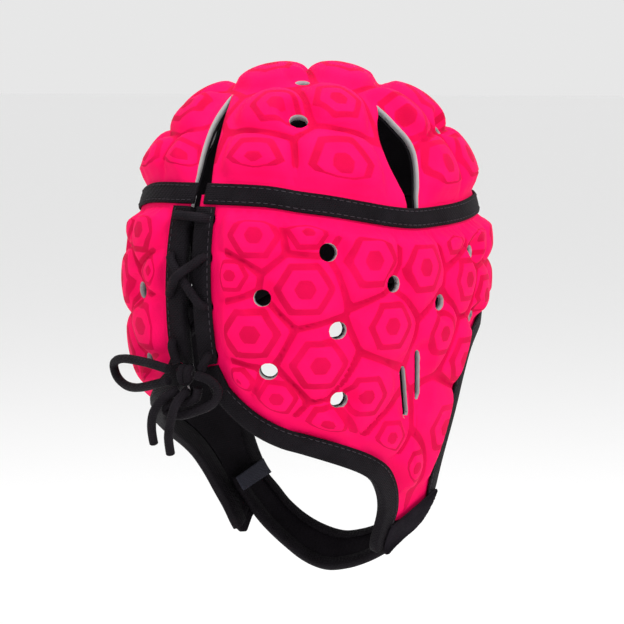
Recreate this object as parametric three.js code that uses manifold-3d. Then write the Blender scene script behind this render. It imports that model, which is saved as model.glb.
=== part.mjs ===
// Padded rugby scrum cap, laced at the back, with a chin strap.
// Millimetres, +Z up, face toward -Y, the wearer's right toward -X, origin at the inner crown.
// Places on the head are given as an azimuth in degrees, from straight back (0) toward the
// wearer's right (+) or left (-), a depth below the origin, and a stand-off from the head.

import * as THREE from 'three';
import { mergeVertices } from 'three/addons/utils/BufferGeometryUtils.js';
import Module from 'manifold-3d';

const wasm = await Module();
wasm.setup();

const RAD = Math.PI / 180;

// Head form
const HALF_WIDTH = 79;
const FRONT_REACH = 101;
const BACK_REACH = 102.5;
const DOME_DEPTH = 104;
const CAP_DEPTH = 253;
const PLAN_POWER = 2.25;
const DOME_POWER = 2.3;
// drop below the dome, share of what is left of the cap's depth | half width | front | back
const LOWER_SECTIONS = [
  [0.0, 1.0, 1.0, 1.0],
  [0.174, 0.98, 0.985, 0.975],
  [0.376, 0.92, 0.955, 0.915],
  [0.59, 0.84, 0.905, 0.85],
  [0.805, 0.715, 0.84, 0.78],
  [1.0, 0.565, 0.755, 0.705],
];

// Layers and widths
const LINING_THICKNESS = 0.8;
const LAYER_GAP = 0.8;
const EDGE_THICKNESS = 2.6;
const VALLEY_THICKNESS = 3.6;
const SIDE_PAD_THICKNESS = 9.6;
const CROWN_PAD_THICKNESS = 11.6;
const PAD_SPAN = 36;
const PAD_SHOULDER = 8;
const TAPE_WIDTH = 10;
const TAPE_THICKNESS = 0.9;
const TAPE_GAP = 0.9;
const TAPE_UNDER_GAP = 0.7;
const TAPE_MARGIN = 0.5;
const JOINT_GAP = 0.6;
const BAND_MARGIN = 1;
const BAND_START = 2.4;
const BAND_END = 359;

// Line of the head band: azimuth either side | depth, share of the dome's depth
const BAND_LINE = [
  [0, 0.553],
  [14, 0.556],
  [22, 0.563],
  [31, 0.586],
  [40, 0.606],
  [50, 0.633],
  [62, 0.662],
  [74, 0.678],
  [91, 0.675],
  [108, 0.665],
  [127, 0.644],
  [150, 0.63],
  [180, 0.625],
];

// Lower edge from the nape corner to the forehead, through the tip of the jaw flap:
// azimuth | depth, share of the cap's depth | lean on the left side | lift on the left side
const FLAP_LEAN = 8;
const NAPE_LIFT = 5;
const LOWER_EDGE = [
  [1.5, 0.565, 0.3, 0.0],
  [3.8, 0.61, 0.5, 0.2],
  [7.3, 0.644, 0.8, 0.5],
  [13.0, 0.682, 1.0, 0.8],
  [18.7, 0.708, 1.1, 1.0],
  [24.8, 0.727, 1.2, 1.0],
  [30.4, 0.738, 1.2, 1.0],
  [37.0, 0.752, 1.2, 0.9],
  [46.6, 0.773, 1.1, 0.6],
  [54.5, 0.792, 1.1, 0.3],
  [61.5, 0.814, 1.0, 0.1],
  [66.3, 0.839, 0.9, 0.0],
  [70.3, 0.868, 0.8, 0.0],
  [73.0, 0.901, 0.8, 0.0],
  [74.3, 0.935, 0.9, 0.0],
  [75.5, 0.968, 0.9, 0.0],
  [79.0, 0.99, 0.8, 0.0],
  [86.0, 1.0, 0.6, 0.0],
  [93.0, 0.986, 0.4, 0.0],
  [100.0, 0.968, 0.3, 0.0],
  [108.0, 0.957, 0.2, 0.0],
  [115.5, 0.943, 0.1, 0.0],
  [119.5, 0.921, 0.0, 0.0],
  [120.0, 0.893, 0.0, 0.0],
  [118.6, 0.862, 0.0, 0.0],
  [116.6, 0.834, 0.0, 0.0],
  [114.9, 0.802, 0.0, 0.0],
  [114.2, 0.771, 0.0, 0.0],
  [114.5, 0.731, 0.0, 0.0],
  [116.0, 0.672, 0.0, 0.0],
  [117.5, 0.613, 0.0, 0.0],
  [120.5, 0.565, 0.0, 0.0],
  [128.0, 0.534, 0.0, 0.0],
  [140.0, 0.518, 0.0, 0.0],
  [160.0, 0.51, 0.0, 0.0],
  [180.0, 0.506, 0.0, 0.0],
];
const REAR_TAPE_END = 16;
const FACE_TAPE_START = 20.5;
// row of the lower edge | inset of the tape's inner side, share of its width and margin
const INSETS = [
  [0, 1],
  [13, 1],
  [15.5, 0.7],
  [17, 0.5],
  [20, 0.5],
  [22, 0.7],
  [24.5, 1],
  [35, 1],
];
// Lines down the side panel: share of the columns | azimuth at the band | row of the lower edge
const PANEL_LINES = [
  [0.0, 7, 0.2],
  [0.273, 52, 11],
  [0.424, 72, 16],
  [0.545, 88, 21.3],
  [0.788, 121, 31],
  [1.0, 180, 35],
];
const PANEL_COLUMNS = 34;
const PANEL_ROWS = 12;
const LINING_ROWS = 4;
const LINING_END = 0.87;
const LINING_MARGIN = 4.5;
const FLAT_TIP_DEPTH = 0.865;
const BAND_FLANGE = TAPE_WIDTH / 2 + BAND_MARGIN;
const SIDES = {
  right: { name: 'right', sign: 1, lean: 0, lift: 0, rearTop: 0.6 },
  left: { name: 'left', sign: -1, lean: FLAP_LEAN, lift: NAPE_LIFT, rearTop: 2.5 },
};

// Side bulges on each side: azimuth | depth, share of the cap's depth | radius, share of half
// the pad span | height share | upright stretch
const SIDE_PADS = [
  [19, 0.305, 0.86, 1.0, 1.0],
  [13, 0.38, 0.62, 0.8, 1.0],
  [33, 0.292, 0.8, 0.85, 1.0],
  [32, 0.405, 1.0, 1.0, 1.0],
  [18, 0.49, 0.98, 1.0, 1.0],
  [52, 0.355, 1.06, 1.0, 1.0],
  [74, 0.375, 1.0, 1.0, 1.2],
  [59, 0.484, 0.96, 1.0, 1.0],
  [87, 0.512, 0.9, 1.0, 1.1],
  [103, 0.41, 0.9, 1.0, 1.0],
  [120, 0.45, 0.86, 1.0, 1.0],
  [117, 0.325, 0.84, 0.9, 1.0],
  [95, 0.318, 0.8, 0.9, 1.0],
  [105, 0.575, 0.96, 1.0, 1.1],
  [36, 0.552, 1.0, 1.0, 1.05],
  [24, 0.62, 0.72, 0.8, 1.0],
  [51, 0.622, 0.86, 1.0, 1.3],
  [38, 0.68, 0.86, 1.0, 0.8],
  [63, 0.715, 0.72, 1.0, 1.0],
  [99, 0.715, 1.0, 1.0, 1.6],
  [82, 0.79, 0.76, 1.0, 1.0],
  [13, 0.59, 0.66, 0.7, 1.0],
  [139, 0.33, 0.9, 1.0, 1.0],
  [159, 0.32, 0.86, 1.0, 1.0],
  [142, 0.43, 0.9, 0.9, 1.0],
  [163, 0.425, 0.9, 0.9, 1.0],
];
const FOREHEAD_PADS = [[180, 0.32, 0.8, 1.0, 1.0]];
// Crown bulges: the same columns, the depth as a share of the dome's depth
const CROWN_PADS = [
  [20, 0.19, 0.86, 1.0, 1.0],
  [45, 0.17, 0.86, 1.0, 1.0],
  [17, 0.43, 1.0, 1.0, 1.0],
  [43, 0.44, 1.15, 1.0, 1.0],
  [88, 0.22, 1.05, 1.0, 1.0],
  [97, 0.45, 1.05, 1.0, 1.0],
  [122, 0.42, 1.0, 1.0, 1.0],
  [126, 0.17, 0.95, 1.0, 1.0],
  [148, 0.42, 1.0, 1.0, 1.0],
  [158, 0.17, 0.95, 1.0, 1.0],
  [180, 0.42, 1.0, 1.0, 1.0],
  [-8, 0.025, 0.86, 1.0, 1.0],
  [78, 0.018, 0.8, 1.0, 1.0],
  [-78, 0.018, 0.8, 1.0, 1.0],
  [180, 0.018, 0.86, 1.0, 1.0],
  [-24, 0.2, 0.8, 1.0, 1.0],
  [-10, 0.41, 0.8, 0.95, 1.0],
  [-27, 0.43, 0.8, 1.0, 1.0],
  [-50, 0.44, 1.0, 1.0, 1.0],
  [-49, 0.16, 0.9, 1.0, 1.0],
  [-88, 0.22, 1.05, 1.0, 1.0],
  [-97, 0.45, 1.05, 1.0, 1.0],
  [-122, 0.42, 1.0, 1.0, 1.0],
  [-126, 0.17, 0.95, 1.0, 1.0],
  [-148, 0.42, 1.0, 1.0, 1.0],
  [-158, 0.17, 0.95, 1.0, 1.0],
];

// Vents: azimuth | depth, share of the cap's depth (sides) or the dome's (crown) | radius share
const VENT_RADIUS = 4.6;
const SIDE_VENTS = [
  [39, 0.336, 1.0],
  [21, 0.423, 0.92],
  [62, 0.404, 0.92],
  [88, 0.452, 0.92],
  [115, 0.494, 0.7],
  [112, 0.358, 0.8],
  [42, 0.49, 1.0],
  [43, 0.632, 1.0],
  [22, 0.569, 0.96],
];
const CROWN_VENTS = [
  [29, 0.221, 1.0],
  [27, 0.045, 0.8],
  [120, 0.27, 0.7],
  [-120, 0.27, 0.7],
  [-38, 0.24, 0.6],
];
// Ear slits: azimuth and depth share of the top end | of the bottom end
const SLIT_WIDTH = 4.2;
const EAR_SLITS = [
  [69.2, 0.583, 74.6, 0.682],
  [76.8, 0.553, 80.7, 0.644],
];

// Dart gaps in the crown: depth, share of the dome's depth | azimuth of each edge
const REAR_GAP = [
  [0.105, -14.5, -13.5],
  [0.16, -10.2, -6.2],
  [0.26, -6.8, -0.8],
  [0.35, -4.7, 1.4],
  [0.45, -3.3, 2.8],
  [0.58, -3.3, 3.6],
];
const SIDE_GAP = [
  [0.152, 75.2, 76.2],
  [0.19, 71.5, 79.0],
  [0.235, 66.8, 81.4],
  [0.3, 64.3, 85.3],
  [0.36, 64.3, 85.7],
  [0.43, 65.4, 83.6],
  [0.52, 68.4, 80.4],
  [0.6, 71.2, 78.2],
  [0.7, 71.4, 78.0],
];
const GAP_LIP = 3;
const CROWN_COLUMNS = 52;
const CROWN_RINGS = 10;

// Lace and eyelets
const LACE_DIAMETER = 4.8;
const EYELET_CLEARANCE = 1.5;
const EYELET_INSET = 6.4;
// depth, share of the cap's depth | right or left
const EYELETS = [
  [0.2745, 'right'],
  [0.348, 'right'],
  [0.443, 'right'],
  [0.5395, 'right'],
  [0.2705, 'left'],
  [0.348, 'left'],
  [0.423, 'left'],
  [0.5175, 'left'],
];

function clamp(value, low, high) {
  return Math.min(high, Math.max(low, value));
}

function smooth(value) {
  const t = clamp(value, 0, 1);
  return t * t * (3 - 2 * t);
}

// Value of one column at a row number with a fraction, on a smooth curve through the rows
function spline(rows, column, place) {
  const i = clamp(Math.floor(place), 0, rows.length - 2);
  const t = place - i;
  const at = (k) => rows[clamp(k, 0, rows.length - 1)][column];
  const [a, b, c, d] = [at(i - 1), at(i), at(i + 1), at(i + 2)];
  const cubic = (2 * a - 5 * b + 4 * c - d) * t * t + (3 * b - a - 3 * c + d) * t * t * t;
  return 0.5 * (2 * b + (c - a) * t + cubic);
}

// Row number with a fraction where the first column has this value
function rowAt(rows, value) {
  let i = 0;
  while (i < rows.length - 2 && rows[i + 1][0] <= value) {
    i += 1;
  }
  return i + clamp((value - rows[i][0]) / (rows[i + 1][0] - rows[i][0]), 0, 1);
}

function lookup(rows, column, value) {
  return spline(rows, column, rowAt(rows, value));
}

// The same, along straight lines between the rows
function straight(rows, column, value) {
  const place = rowAt(rows, value);
  const i = clamp(Math.floor(place), 0, rows.length - 2);
  return THREE.MathUtils.lerp(rows[i][column], rows[i + 1][column], place - i);
}

// Half width, front reach and back reach of the head form at a depth, as shares
function formShares(depth) {
  if (depth < DOME_DEPTH) {
    const rise = (DOME_DEPTH - depth) / DOME_DEPTH;
    const share = Math.pow(Math.max(0, 1 - Math.pow(rise, DOME_POWER)), 1 / DOME_POWER);
    const least = Math.max(share, 1e-6);
    return [least, least, least];
  }
  const below = (depth - DOME_DEPTH) / (CAP_DEPTH - DOME_DEPTH);
  return [1, 2, 3].map((column) => lookup(LOWER_SECTIONS, column, below));
}

function formPoint(azimuth, depth) {
  const [width, front, back] = formShares(depth);
  const sideways = -Math.sin(azimuth * RAD);
  const rearward = Math.cos(azimuth * RAD);
  const reach = rearward > 0 ? BACK_REACH * back : FRONT_REACH * front;
  const plan = Math.pow(Math.abs(sideways) / (HALF_WIDTH * width), PLAN_POWER)
    + Math.pow(Math.abs(rearward) / reach, PLAN_POWER);
  const radius = Math.pow(plan, -1 / PLAN_POWER);
  return new THREE.Vector3(sideways * radius, rearward * radius, -depth);
}

// How far out a point lies in the plan of its own level, 1 on the form
function planAt(x, y, depth) {
  const [width, front, back] = formShares(depth);
  const reach = y > 0 ? BACK_REACH * back : FRONT_REACH * front;
  return Math.pow(Math.abs(x) / (HALF_WIDTH * width), PLAN_POWER)
    + Math.pow(Math.abs(y) / reach, PLAN_POWER);
}

function formNormal(p) {
  const depth = -p.z;
  const reach = p.y > 0 ? BACK_REACH : FRONT_REACH;
  if (depth < DOME_DEPTH) {
    const across = Math.abs(p.x) / HALF_WIDTH;
    const along = Math.abs(p.y) / reach;
    const plan = Math.pow(across, PLAN_POWER) + Math.pow(along, PLAN_POWER);
    if (plan < 1e-7) {
      return new THREE.Vector3(0, 0, 1);
    }
    const slope = Math.pow(plan, DOME_POWER / PLAN_POWER - 1);
    return new THREE.Vector3(
      Math.sign(p.x) * slope * Math.pow(across, PLAN_POWER - 1) / HALF_WIDTH,
      Math.sign(p.y) * slope * Math.pow(along, PLAN_POWER - 1) / reach,
      Math.pow((DOME_DEPTH - depth) / DOME_DEPTH, DOME_POWER - 1) / DOME_DEPTH,
    ).normalize();
  }
  const step = 0.5;
  return new THREE.Vector3(
    planAt(p.x + step, p.y, depth) - planAt(p.x - step, p.y, depth),
    planAt(p.x, p.y + step, depth) - planAt(p.x, p.y - step, depth),
    planAt(p.x, p.y, depth - step) - planAt(p.x, p.y, depth + step),
  ).normalize();
}

// Point at a stand-off from the head
function layer(azimuth, depth, standOff) {
  const p = formPoint(azimuth, depth);
  return p.addScaledVector(formNormal(p), standOff);
}

// Azimuth and depth of a point near the form
function placeOf(p) {
  return { azimuth: Math.atan2(-p.x, p.y) / RAD, depth: -p.z };
}

function between(a, b, share) {
  return {
    azimuth: THREE.MathUtils.lerp(a.azimuth, b.azimuth, share),
    depth: THREE.MathUtils.lerp(a.depth, b.depth, share),
  };
}

function bandDepth(azimuth) {
  const turn = Math.abs(((azimuth + 540) % 360) - 180);
  return DOME_DEPTH * lookup(BAND_LINE, 1, turn);
}

// Share of the dome's plan at a depth, and the depth at a share
function shareAt(depth) {
  return formShares(depth)[0];
}

function depthAt(share) {
  return DOME_DEPTH * (1 - Math.pow(1 - Math.pow(share, DOME_POWER), 1 / DOME_POWER));
}

// Place on the lower edge of one side, at a row of its table
function edgePlace(side, row) {
  const azimuth = spline(LOWER_EDGE, 0, row) + side.lean * spline(LOWER_EDGE, 2, row);
  const depth = CAP_DEPTH * spline(LOWER_EDGE, 1, row) - side.lift * spline(LOWER_EDGE, 3, row);
  return { azimuth: side.sign * azimuth, depth };
}

// Place inward from the lower edge, square to it
function insetPlace(side, row, distance) {
  const step = 0.2;
  const a = edgePlace(side, Math.max(0, row - step));
  const b = edgePlace(side, Math.min(LOWER_EDGE.length - 1, row + step));
  const here = edgePlace(side, row);
  const p = formPoint(here.azimuth, here.depth);
  const along = formPoint(b.azimuth, b.depth).sub(formPoint(a.azimuth, a.depth));
  const inward = formNormal(p).cross(along).normalize().multiplyScalar(side.sign);
  return placeOf(p.addScaledVector(inward, distance * straight(INSETS, 1, row)));
}

// Azimuth that lies a distance away from another one at a depth
function azimuthStep(azimuth, depth, distance) {
  const radius = Math.hypot(formPoint(azimuth, depth).x, formPoint(azimuth, depth).y);
  return distance / (radius * RAD);
}

// Azimuth of the rear edge of one side, at a depth
function rearAzimuth(side, depth) {
  const corner = edgePlace(side, 0);
  const top = bandDepth(0) + JOINT_GAP / 2;
  const fall = Math.min(1, (depth - top) / (corner.depth - top));
  return THREE.MathUtils.lerp(side.sign * side.rearTop, corner.azimuth, fall);
}

// Place square in from the nape corner, shared by the rear and the lower tape
const CORNER_STEP = 5;

function cornerInset(side, margin) {
  const corner = edgePlace(side, 0);
  const above = corner.depth - CORNER_STEP;
  const below = edgePlace(side, 1);
  const p = formPoint(corner.azimuth, corner.depth);
  const along = formPoint(below.azimuth, below.depth);
  along.sub(formPoint(rearAzimuth(side, above), above));
  const inward = formNormal(p).cross(along).normalize().multiplyScalar(side.sign);
  return placeOf(p.addScaledVector(inward, TAPE_WIDTH + TAPE_MARGIN + margin));
}

// Share of the way down the laced edge at a row of the panel, and depths there
function rearDepth(row, low) {
  const top = bandDepth(0) + JOINT_GAP / 2;
  if (row <= 1) {
    return top + BAND_FLANGE * row;
  }
  return THREE.MathUtils.lerp(top + BAND_FLANGE, low, (row - 1) / (PANEL_ROWS - 2));
}

// Place on the rear edge of one side, at a row of the panel
function rearPlace(side, row) {
  const corner = edgePlace(side, 0);
  const low = corner.depth - CORNER_STEP;
  const depth = row <= PANEL_ROWS - 1
    ? rearDepth(row, low)
    : THREE.MathUtils.lerp(low, corner.depth, row - PANEL_ROWS + 1);
  return { azimuth: rearAzimuth(side, depth), depth };
}

// Place a distance in from the rear edge, level with it
function rearStep(side, depth, distance) {
  const azimuth = rearAzimuth(side, depth);
  return { azimuth: azimuth + side.sign * azimuthStep(azimuth, depth, distance), depth };
}

// Panel node beside the rear tape
function rearInset(side, row, margin) {
  const distance = TAPE_WIDTH + TAPE_MARGIN + margin;
  const low = cornerInset(side, margin);
  const corner = edgePlace(side, 0);
  const depth = rearDepth(row, low.depth);
  if (depth <= corner.depth) {
    return rearStep(side, depth, distance);
  }
  const share = (depth - corner.depth) / (low.depth - corner.depth);
  return between(rearStep(side, corner.depth, distance), low, share);
}

// Azimuth at the band and row of the lower edge of a panel column
function columnEnds(column) {
  const share = (column - 1) / (PANEL_COLUMNS - 1);
  return { top: straight(PANEL_LINES, 1, share), row: straight(PANEL_LINES, 2, share) };
}

// Place of a panel node, column 0 at the lacing, row 0 at the band
function panelPlace(side, column, row, margin = 0) {
  if (row > PANEL_ROWS - 1 && column < 2) {
    const edge = edgePlace(side, columnEnds(2).row * Math.max(0, column - 1));
    const inset = panelPlace(side, column, PANEL_ROWS - 1, margin);
    return between(inset, edge, row - PANEL_ROWS + 1);
  }
  if (column < 1) {
    return between(rearPlace(side, row), rearInset(side, row, margin), column);
  }
  if (column < 2) {
    return between(rearInset(side, row, margin), panelPlace(side, 2, row, margin), column - 1);
  }
  const ends = columnEnds(column);
  const azimuth = side.sign * ends.top;
  const joint = { azimuth, depth: bandDepth(azimuth) + JOINT_GAP / 2 };
  const flange = { azimuth, depth: joint.depth + BAND_FLANGE };
  const inset = insetPlace(side, ends.row, TAPE_WIDTH + TAPE_MARGIN + margin);
  if (margin > 0) {
    inset.depth = Math.min(inset.depth, CAP_DEPTH * LINING_END);
  }
  if (row <= 1) {
    return between(joint, flange, row);
  }
  if (row <= PANEL_ROWS - 1) {
    return between(flange, inset, (row - 1) / (PANEL_ROWS - 2));
  }
  return between(inset, edgePlace(side, ends.row), row - PANEL_ROWS + 1);
}

// Points along the bound edges and along the gap edges, to measure distances from
function boundEdge(side) {
  const points = [];
  for (let row = 0; row <= LOWER_EDGE.length - 1; row += 0.25) {
    const place = edgePlace(side, row);
    points.push(formPoint(place.azimuth, place.depth));
  }
  for (let row = 1; row <= PANEL_ROWS; row += 0.5) {
    const place = rearPlace(side, row);
    points.push(formPoint(place.azimuth, place.depth));
  }
  return points;
}

function gapEdge(rows, sign) {
  const points = [];
  for (let place = 0; place <= rows.length - 1; place += 0.25) {
    const depth = DOME_DEPTH * spline(rows, 0, place);
    points.push(formPoint(sign * spline(rows, 1, place), depth));
    points.push(formPoint(sign * spline(rows, 2, place), depth));
  }
  return points;
}

function nearest(points, p) {
  return Math.sqrt(Math.min(...points.map((q) => q.distanceToSquared(p))));
}

const BOUND_EDGES = [...boundEdge(SIDES.right), ...boundEdge(SIDES.left)];
const GAP_EDGES = [...gapEdge(REAR_GAP, 1), ...gapEdge(SIDE_GAP, 1), ...gapEdge(SIDE_GAP, -1)];

// Points along the middle of the ear slits of one side
function slitPoints(sign) {
  return EAR_SLITS.flatMap(([topAzimuth, topShare, lowAzimuth, lowShare]) => {
    return [0, 0.25, 0.5, 0.75, 1].map((share) => {
      const azimuth = THREE.MathUtils.lerp(topAzimuth, lowAzimuth, share);
      return formPoint(sign * azimuth, CAP_DEPTH * THREE.MathUtils.lerp(topShare, lowShare, share));
    });
  });
}

const SLIT_POINTS = [...slitPoints(1), ...slitPoints(-1)];

// Bulges and vents as points on the form
function bulges(rows, depthScale, signs) {
  const found = [];
  for (const sign of signs) {
    for (const [azimuth, depth, radius, height, upright] of rows) {
      const centre = formPoint(sign * azimuth, depth * depthScale);
      found.push({ centre, radius: radius * PAD_SPAN / 2, height, upright });
    }
  }
  return found;
}

function vents(rows, depthScale, signs) {
  const found = [];
  for (const sign of signs) {
    for (const [azimuth, depth, radius] of rows) {
      const centre = formPoint(sign * azimuth, depth * depthScale);
      found.push({ centre, radius: radius * VENT_RADIUS });
    }
  }
  return found;
}

const SIDE_BULGES = [
  ...bulges(SIDE_PADS, CAP_DEPTH, [1, -1]),
  ...bulges(FOREHEAD_PADS, CAP_DEPTH, [1]),
];
const CROWN_BULGES = bulges(CROWN_PADS, DOME_DEPTH, [1]);
const SIDE_HOLES = vents(SIDE_VENTS, CAP_DEPTH, [1, -1]);
const CROWN_HOLES = vents(CROWN_VENTS, DOME_DEPTH, [1]);

// Height of the bulges at a point, 0 in a crease and 1 on top of a full one
function bulgeHeight(p, list, holes) {
  let first = { edge: Infinity };
  let second = Infinity;
  for (const bulge of list) {
    const upright = (p.z - bulge.centre.z) / bulge.upright;
    const distance = Math.hypot(p.x - bulge.centre.x, p.y - bulge.centre.y, upright);
    const edge = distance - bulge.radius;
    if (edge < first.edge) {
      second = first.edge;
      first = { edge, distance, bulge };
    } else if (edge < second) {
      second = edge;
    }
  }
  const crease = clamp((second - first.edge) / 2 / PAD_SHOULDER, 0, 1);
  const shoulder = Math.sqrt(1 - (1 - crease) * (1 - crease));
  const reach = first.distance / first.bulge.radius;
  const dome = 1 - 0.16 * Math.min(2, reach * reach);
  const fade = 1 - smooth(first.edge / PAD_SHOULDER);
  let height = shoulder * dome * fade * first.bulge.height;
  for (const hole of holes) {
    height *= smooth((hole.centre.distanceTo(p) - hole.radius) / (PAD_SHOULDER * 0.8));
  }
  return height;
}

// Thickness of the foam at a place
function sideThickness({ azimuth, depth }, column, row) {
  if (column <= 1 || row <= 1 || row >= PANEL_ROWS - 1) {
    return EDGE_THICKNESS;
  }
  const p = formPoint(azimuth, depth);
  const valley = VALLEY_THICKNESS - EDGE_THICKNESS;
  const rise = (SIDE_PAD_THICKNESS - VALLEY_THICKNESS) * bulgeHeight(p, SIDE_BULGES, SIDE_HOLES);
  const fromTape = smooth((nearest(BOUND_EDGES, p) - TAPE_WIDTH - TAPE_MARGIN) / PAD_SHOULDER);
  const fromBand = smooth((depth - bandDepth(azimuth) - BAND_FLANGE) / PAD_SHOULDER);
  const fromTip = smooth((CAP_DEPTH * FLAT_TIP_DEPTH - depth) / PAD_SHOULDER);
  const fromSlit = smooth((nearest(SLIT_POINTS, p) - SLIT_WIDTH / 2) / PAD_SHOULDER);
  return EDGE_THICKNESS + (valley + rise) * fromTape * fromBand * fromTip * fromSlit;
}

function crownThickness({ azimuth, depth }, ring) {
  if (ring >= CROWN_RINGS - 1) {
    return EDGE_THICKNESS;
  }
  const p = formPoint(azimuth, depth);
  const valley = VALLEY_THICKNESS - EDGE_THICKNESS;
  const rise = (CROWN_PAD_THICKNESS - VALLEY_THICKNESS) * bulgeHeight(p, CROWN_BULGES, CROWN_HOLES);
  const fromGap = smooth((nearest(GAP_EDGES, p) - GAP_LIP) / PAD_SHOULDER);
  const fromBand = smooth((bandDepth(azimuth) - BAND_FLANGE - depth) / PAD_SHOULDER);
  return EDGE_THICKNESS + (valley + rise * fromGap) * fromBand;
}

// Closed solid from triangles given as points
function solidFrom(triangles) {
  const positions = [];
  for (const [a, b, c] of triangles) {
    const thin = a.distanceTo(b) < 1e-4 || b.distanceTo(c) < 1e-4 || c.distanceTo(a) < 1e-4;
    if (!thin) {
      positions.push(a.x, a.y, a.z, b.x, b.y, b.z, c.x, c.y, c.z);
    }
  }
  let volume = 0;
  for (let i = 0; i < positions.length; i += 9) {
    const a = new THREE.Vector3().fromArray(positions, i);
    const b = new THREE.Vector3().fromArray(positions, i + 3);
    const c = new THREE.Vector3().fromArray(positions, i + 6);
    volume += a.dot(b.cross(c));
  }
  if (volume < 0) {
    for (let i = 0; i < positions.length; i += 9) {
      for (let k = 0; k < 3; k += 1) {
        [positions[i + k], positions[i + 3 + k]] = [positions[i + 3 + k], positions[i + k]];
      }
    }
  }
  const geometry = new THREE.BufferGeometry();
  geometry.setAttribute('position', new THREE.Float32BufferAttribute(positions, 3));
  return mergeVertices(geometry, 1e-4);
}

// Triangles between the cells of a grid of points, the second half split the other way
function gridFaces(grid) {
  const faces = [];
  const columns = grid[0].length - 1;
  for (let i = 0; i < grid.length - 1; i += 1) {
    for (let j = 0; j < columns; j += 1) {
      const [a, b, c, d] = [grid[i][j], grid[i + 1][j], grid[i + 1][j + 1], grid[i][j + 1]];
      if (j < columns / 2) {
        faces.push([a, b, c], [a, c, d]);
      } else {
        faces.push([a, b, d], [b, c, d]);
      }
    }
  }
  return faces;
}

// Wall between two rims, where the inner one may have half as many cells
function rimFaces(outer, inner) {
  const faces = [];
  const skip = (outer.length - 1) / (inner.length - 1);
  for (let k = 0; k < inner.length - 1; k += 1) {
    const from = k * skip;
    const middle = from + 1;
    faces.push([outer[middle], inner[k + 1], inner[k]]);
    for (let m = from; m < from + skip; m += 1) {
      faces.push([outer[m], outer[m + 1], m < middle ? inner[k] : inner[k + 1]]);
    }
  }
  return faces;
}

// Shell between an outer and an inner grid of points; a wrapped one has only its last rim
function shell(outer, inner, wrapped = false) {
  const triangles = gridFaces(outer);
  for (const [a, b, c] of gridFaces(inner)) {
    triangles.push([a, c, b]);
  }
  const low = (grid) => [...grid[grid.length - 1]].reverse();
  const high = (grid) => grid[0];
  const start = (grid) => grid.map((row) => row[0]).reverse();
  const end = (grid) => grid.map((row) => row[row.length - 1]);
  for (const rim of wrapped ? [low] : [low, high, start, end]) {
    triangles.push(...rimFaces(rim(outer), rim(inner)));
  }
  return solidFrom(triangles);
}

// Every second point of a grid, both ways
function thinned(grid) {
  return grid.filter((_, i) => i % 2 === 0).map((row) => row.filter((_, j) => j % 2 === 0));
}

// Solid through a row of sections, each a ring of the same number of points
function loft(sections, capCorners) {
  const triangles = [];
  const count = sections[0].length;
  for (let i = 0; i < sections.length - 1; i += 1) {
    for (let k = 0; k < count; k += 1) {
      const next = (k + 1) % count;
      triangles.push([sections[i][k], sections[i + 1][k], sections[i + 1][next]]);
      triangles.push([sections[i][k], sections[i + 1][next], sections[i][next]]);
    }
  }
  const last = sections[sections.length - 1];
  for (const [a, b, c, d] of capCorners) {
    triangles.push([sections[0][a], sections[0][b], sections[0][c]]);
    triangles.push([sections[0][a], sections[0][c], sections[0][d]]);
    triangles.push([last[a], last[c], last[b]]);
    triangles.push([last[a], last[d], last[c]]);
  }
  return solidFrom(triangles);
}

const BOX_CAP = [[0, 1, 2, 3]];
const CHANNEL_CAP = [[0, 1, 6, 7], [1, 2, 5, 6], [2, 3, 4, 5]];
const ROUND_CAP = [[0, 1, 2, 3], [0, 3, 4, 7], [4, 5, 6, 7]];

function toManifold(geometry) {
  const plain = geometry.clone();
  plain.deleteAttribute('normal');
  plain.deleteAttribute('uv');
  const merged = mergeVertices(plain, 1e-4);
  const vertProperties = new Float32Array(merged.getAttribute('position').array);
  const triVerts = new Uint32Array(merged.index.array);
  return new wasm.Manifold(new wasm.Mesh({ numProp: 3, vertProperties, triVerts }));
}

function fromManifold(manifold) {
  const mesh = manifold.getMesh();
  const geometry = new THREE.BufferGeometry();
  geometry.setAttribute('position', new THREE.BufferAttribute(new Float32Array(mesh.vertProperties), 3));
  geometry.setIndex(new THREE.BufferAttribute(new Uint32Array(mesh.triVerts), 1));
  return geometry;
}

function cut(geometry, cutters) {
  let body = toManifold(geometry);
  for (const cutter of cutters) {
    body = body.subtract(toManifold(cutter));
  }
  const [largest] = body.decompose().sort((a, b) => b.volume() - a.volume());
  return fromManifold(largest);
}

// Cutters
const CUT_DEPTH = 40;
const CUT_BELOW = 8;
const VENT_CORNERS = 6;
const LINING_VENT_CORNERS = 5;

function holeCutter(centre, radius, corners = VENT_CORNERS) {
  const geometry = new THREE.CylinderGeometry(radius, radius, CUT_DEPTH, corners);
  const normal = formNormal(centre);
  const turn = new THREE.Quaternion().setFromUnitVectors(new THREE.Vector3(0, 1, 0), normal);
  const middle = centre.clone().addScaledVector(normal, CUT_DEPTH / 2 - CUT_BELOW);
  geometry.applyMatrix4(new THREE.Matrix4().compose(middle, turn, new THREE.Vector3(1, 1, 1)));
  return geometry;
}

function gapCutter(rows, sign) {
  const outer = [];
  const inner = [];
  for (let place = 0; place <= rows.length - 1; place += 1) {
    const depth = DOME_DEPTH * spline(rows, 0, place);
    const edges = [1, 2].map((column) => sign * spline(rows, column, place));
    outer.push(edges.map((azimuth) => layer(azimuth, depth, CUT_DEPTH - CUT_BELOW)));
    inner.push(edges.map((azimuth) => layer(azimuth, depth, -CUT_BELOW)));
  }
  return shell(outer, inner);
}

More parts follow.
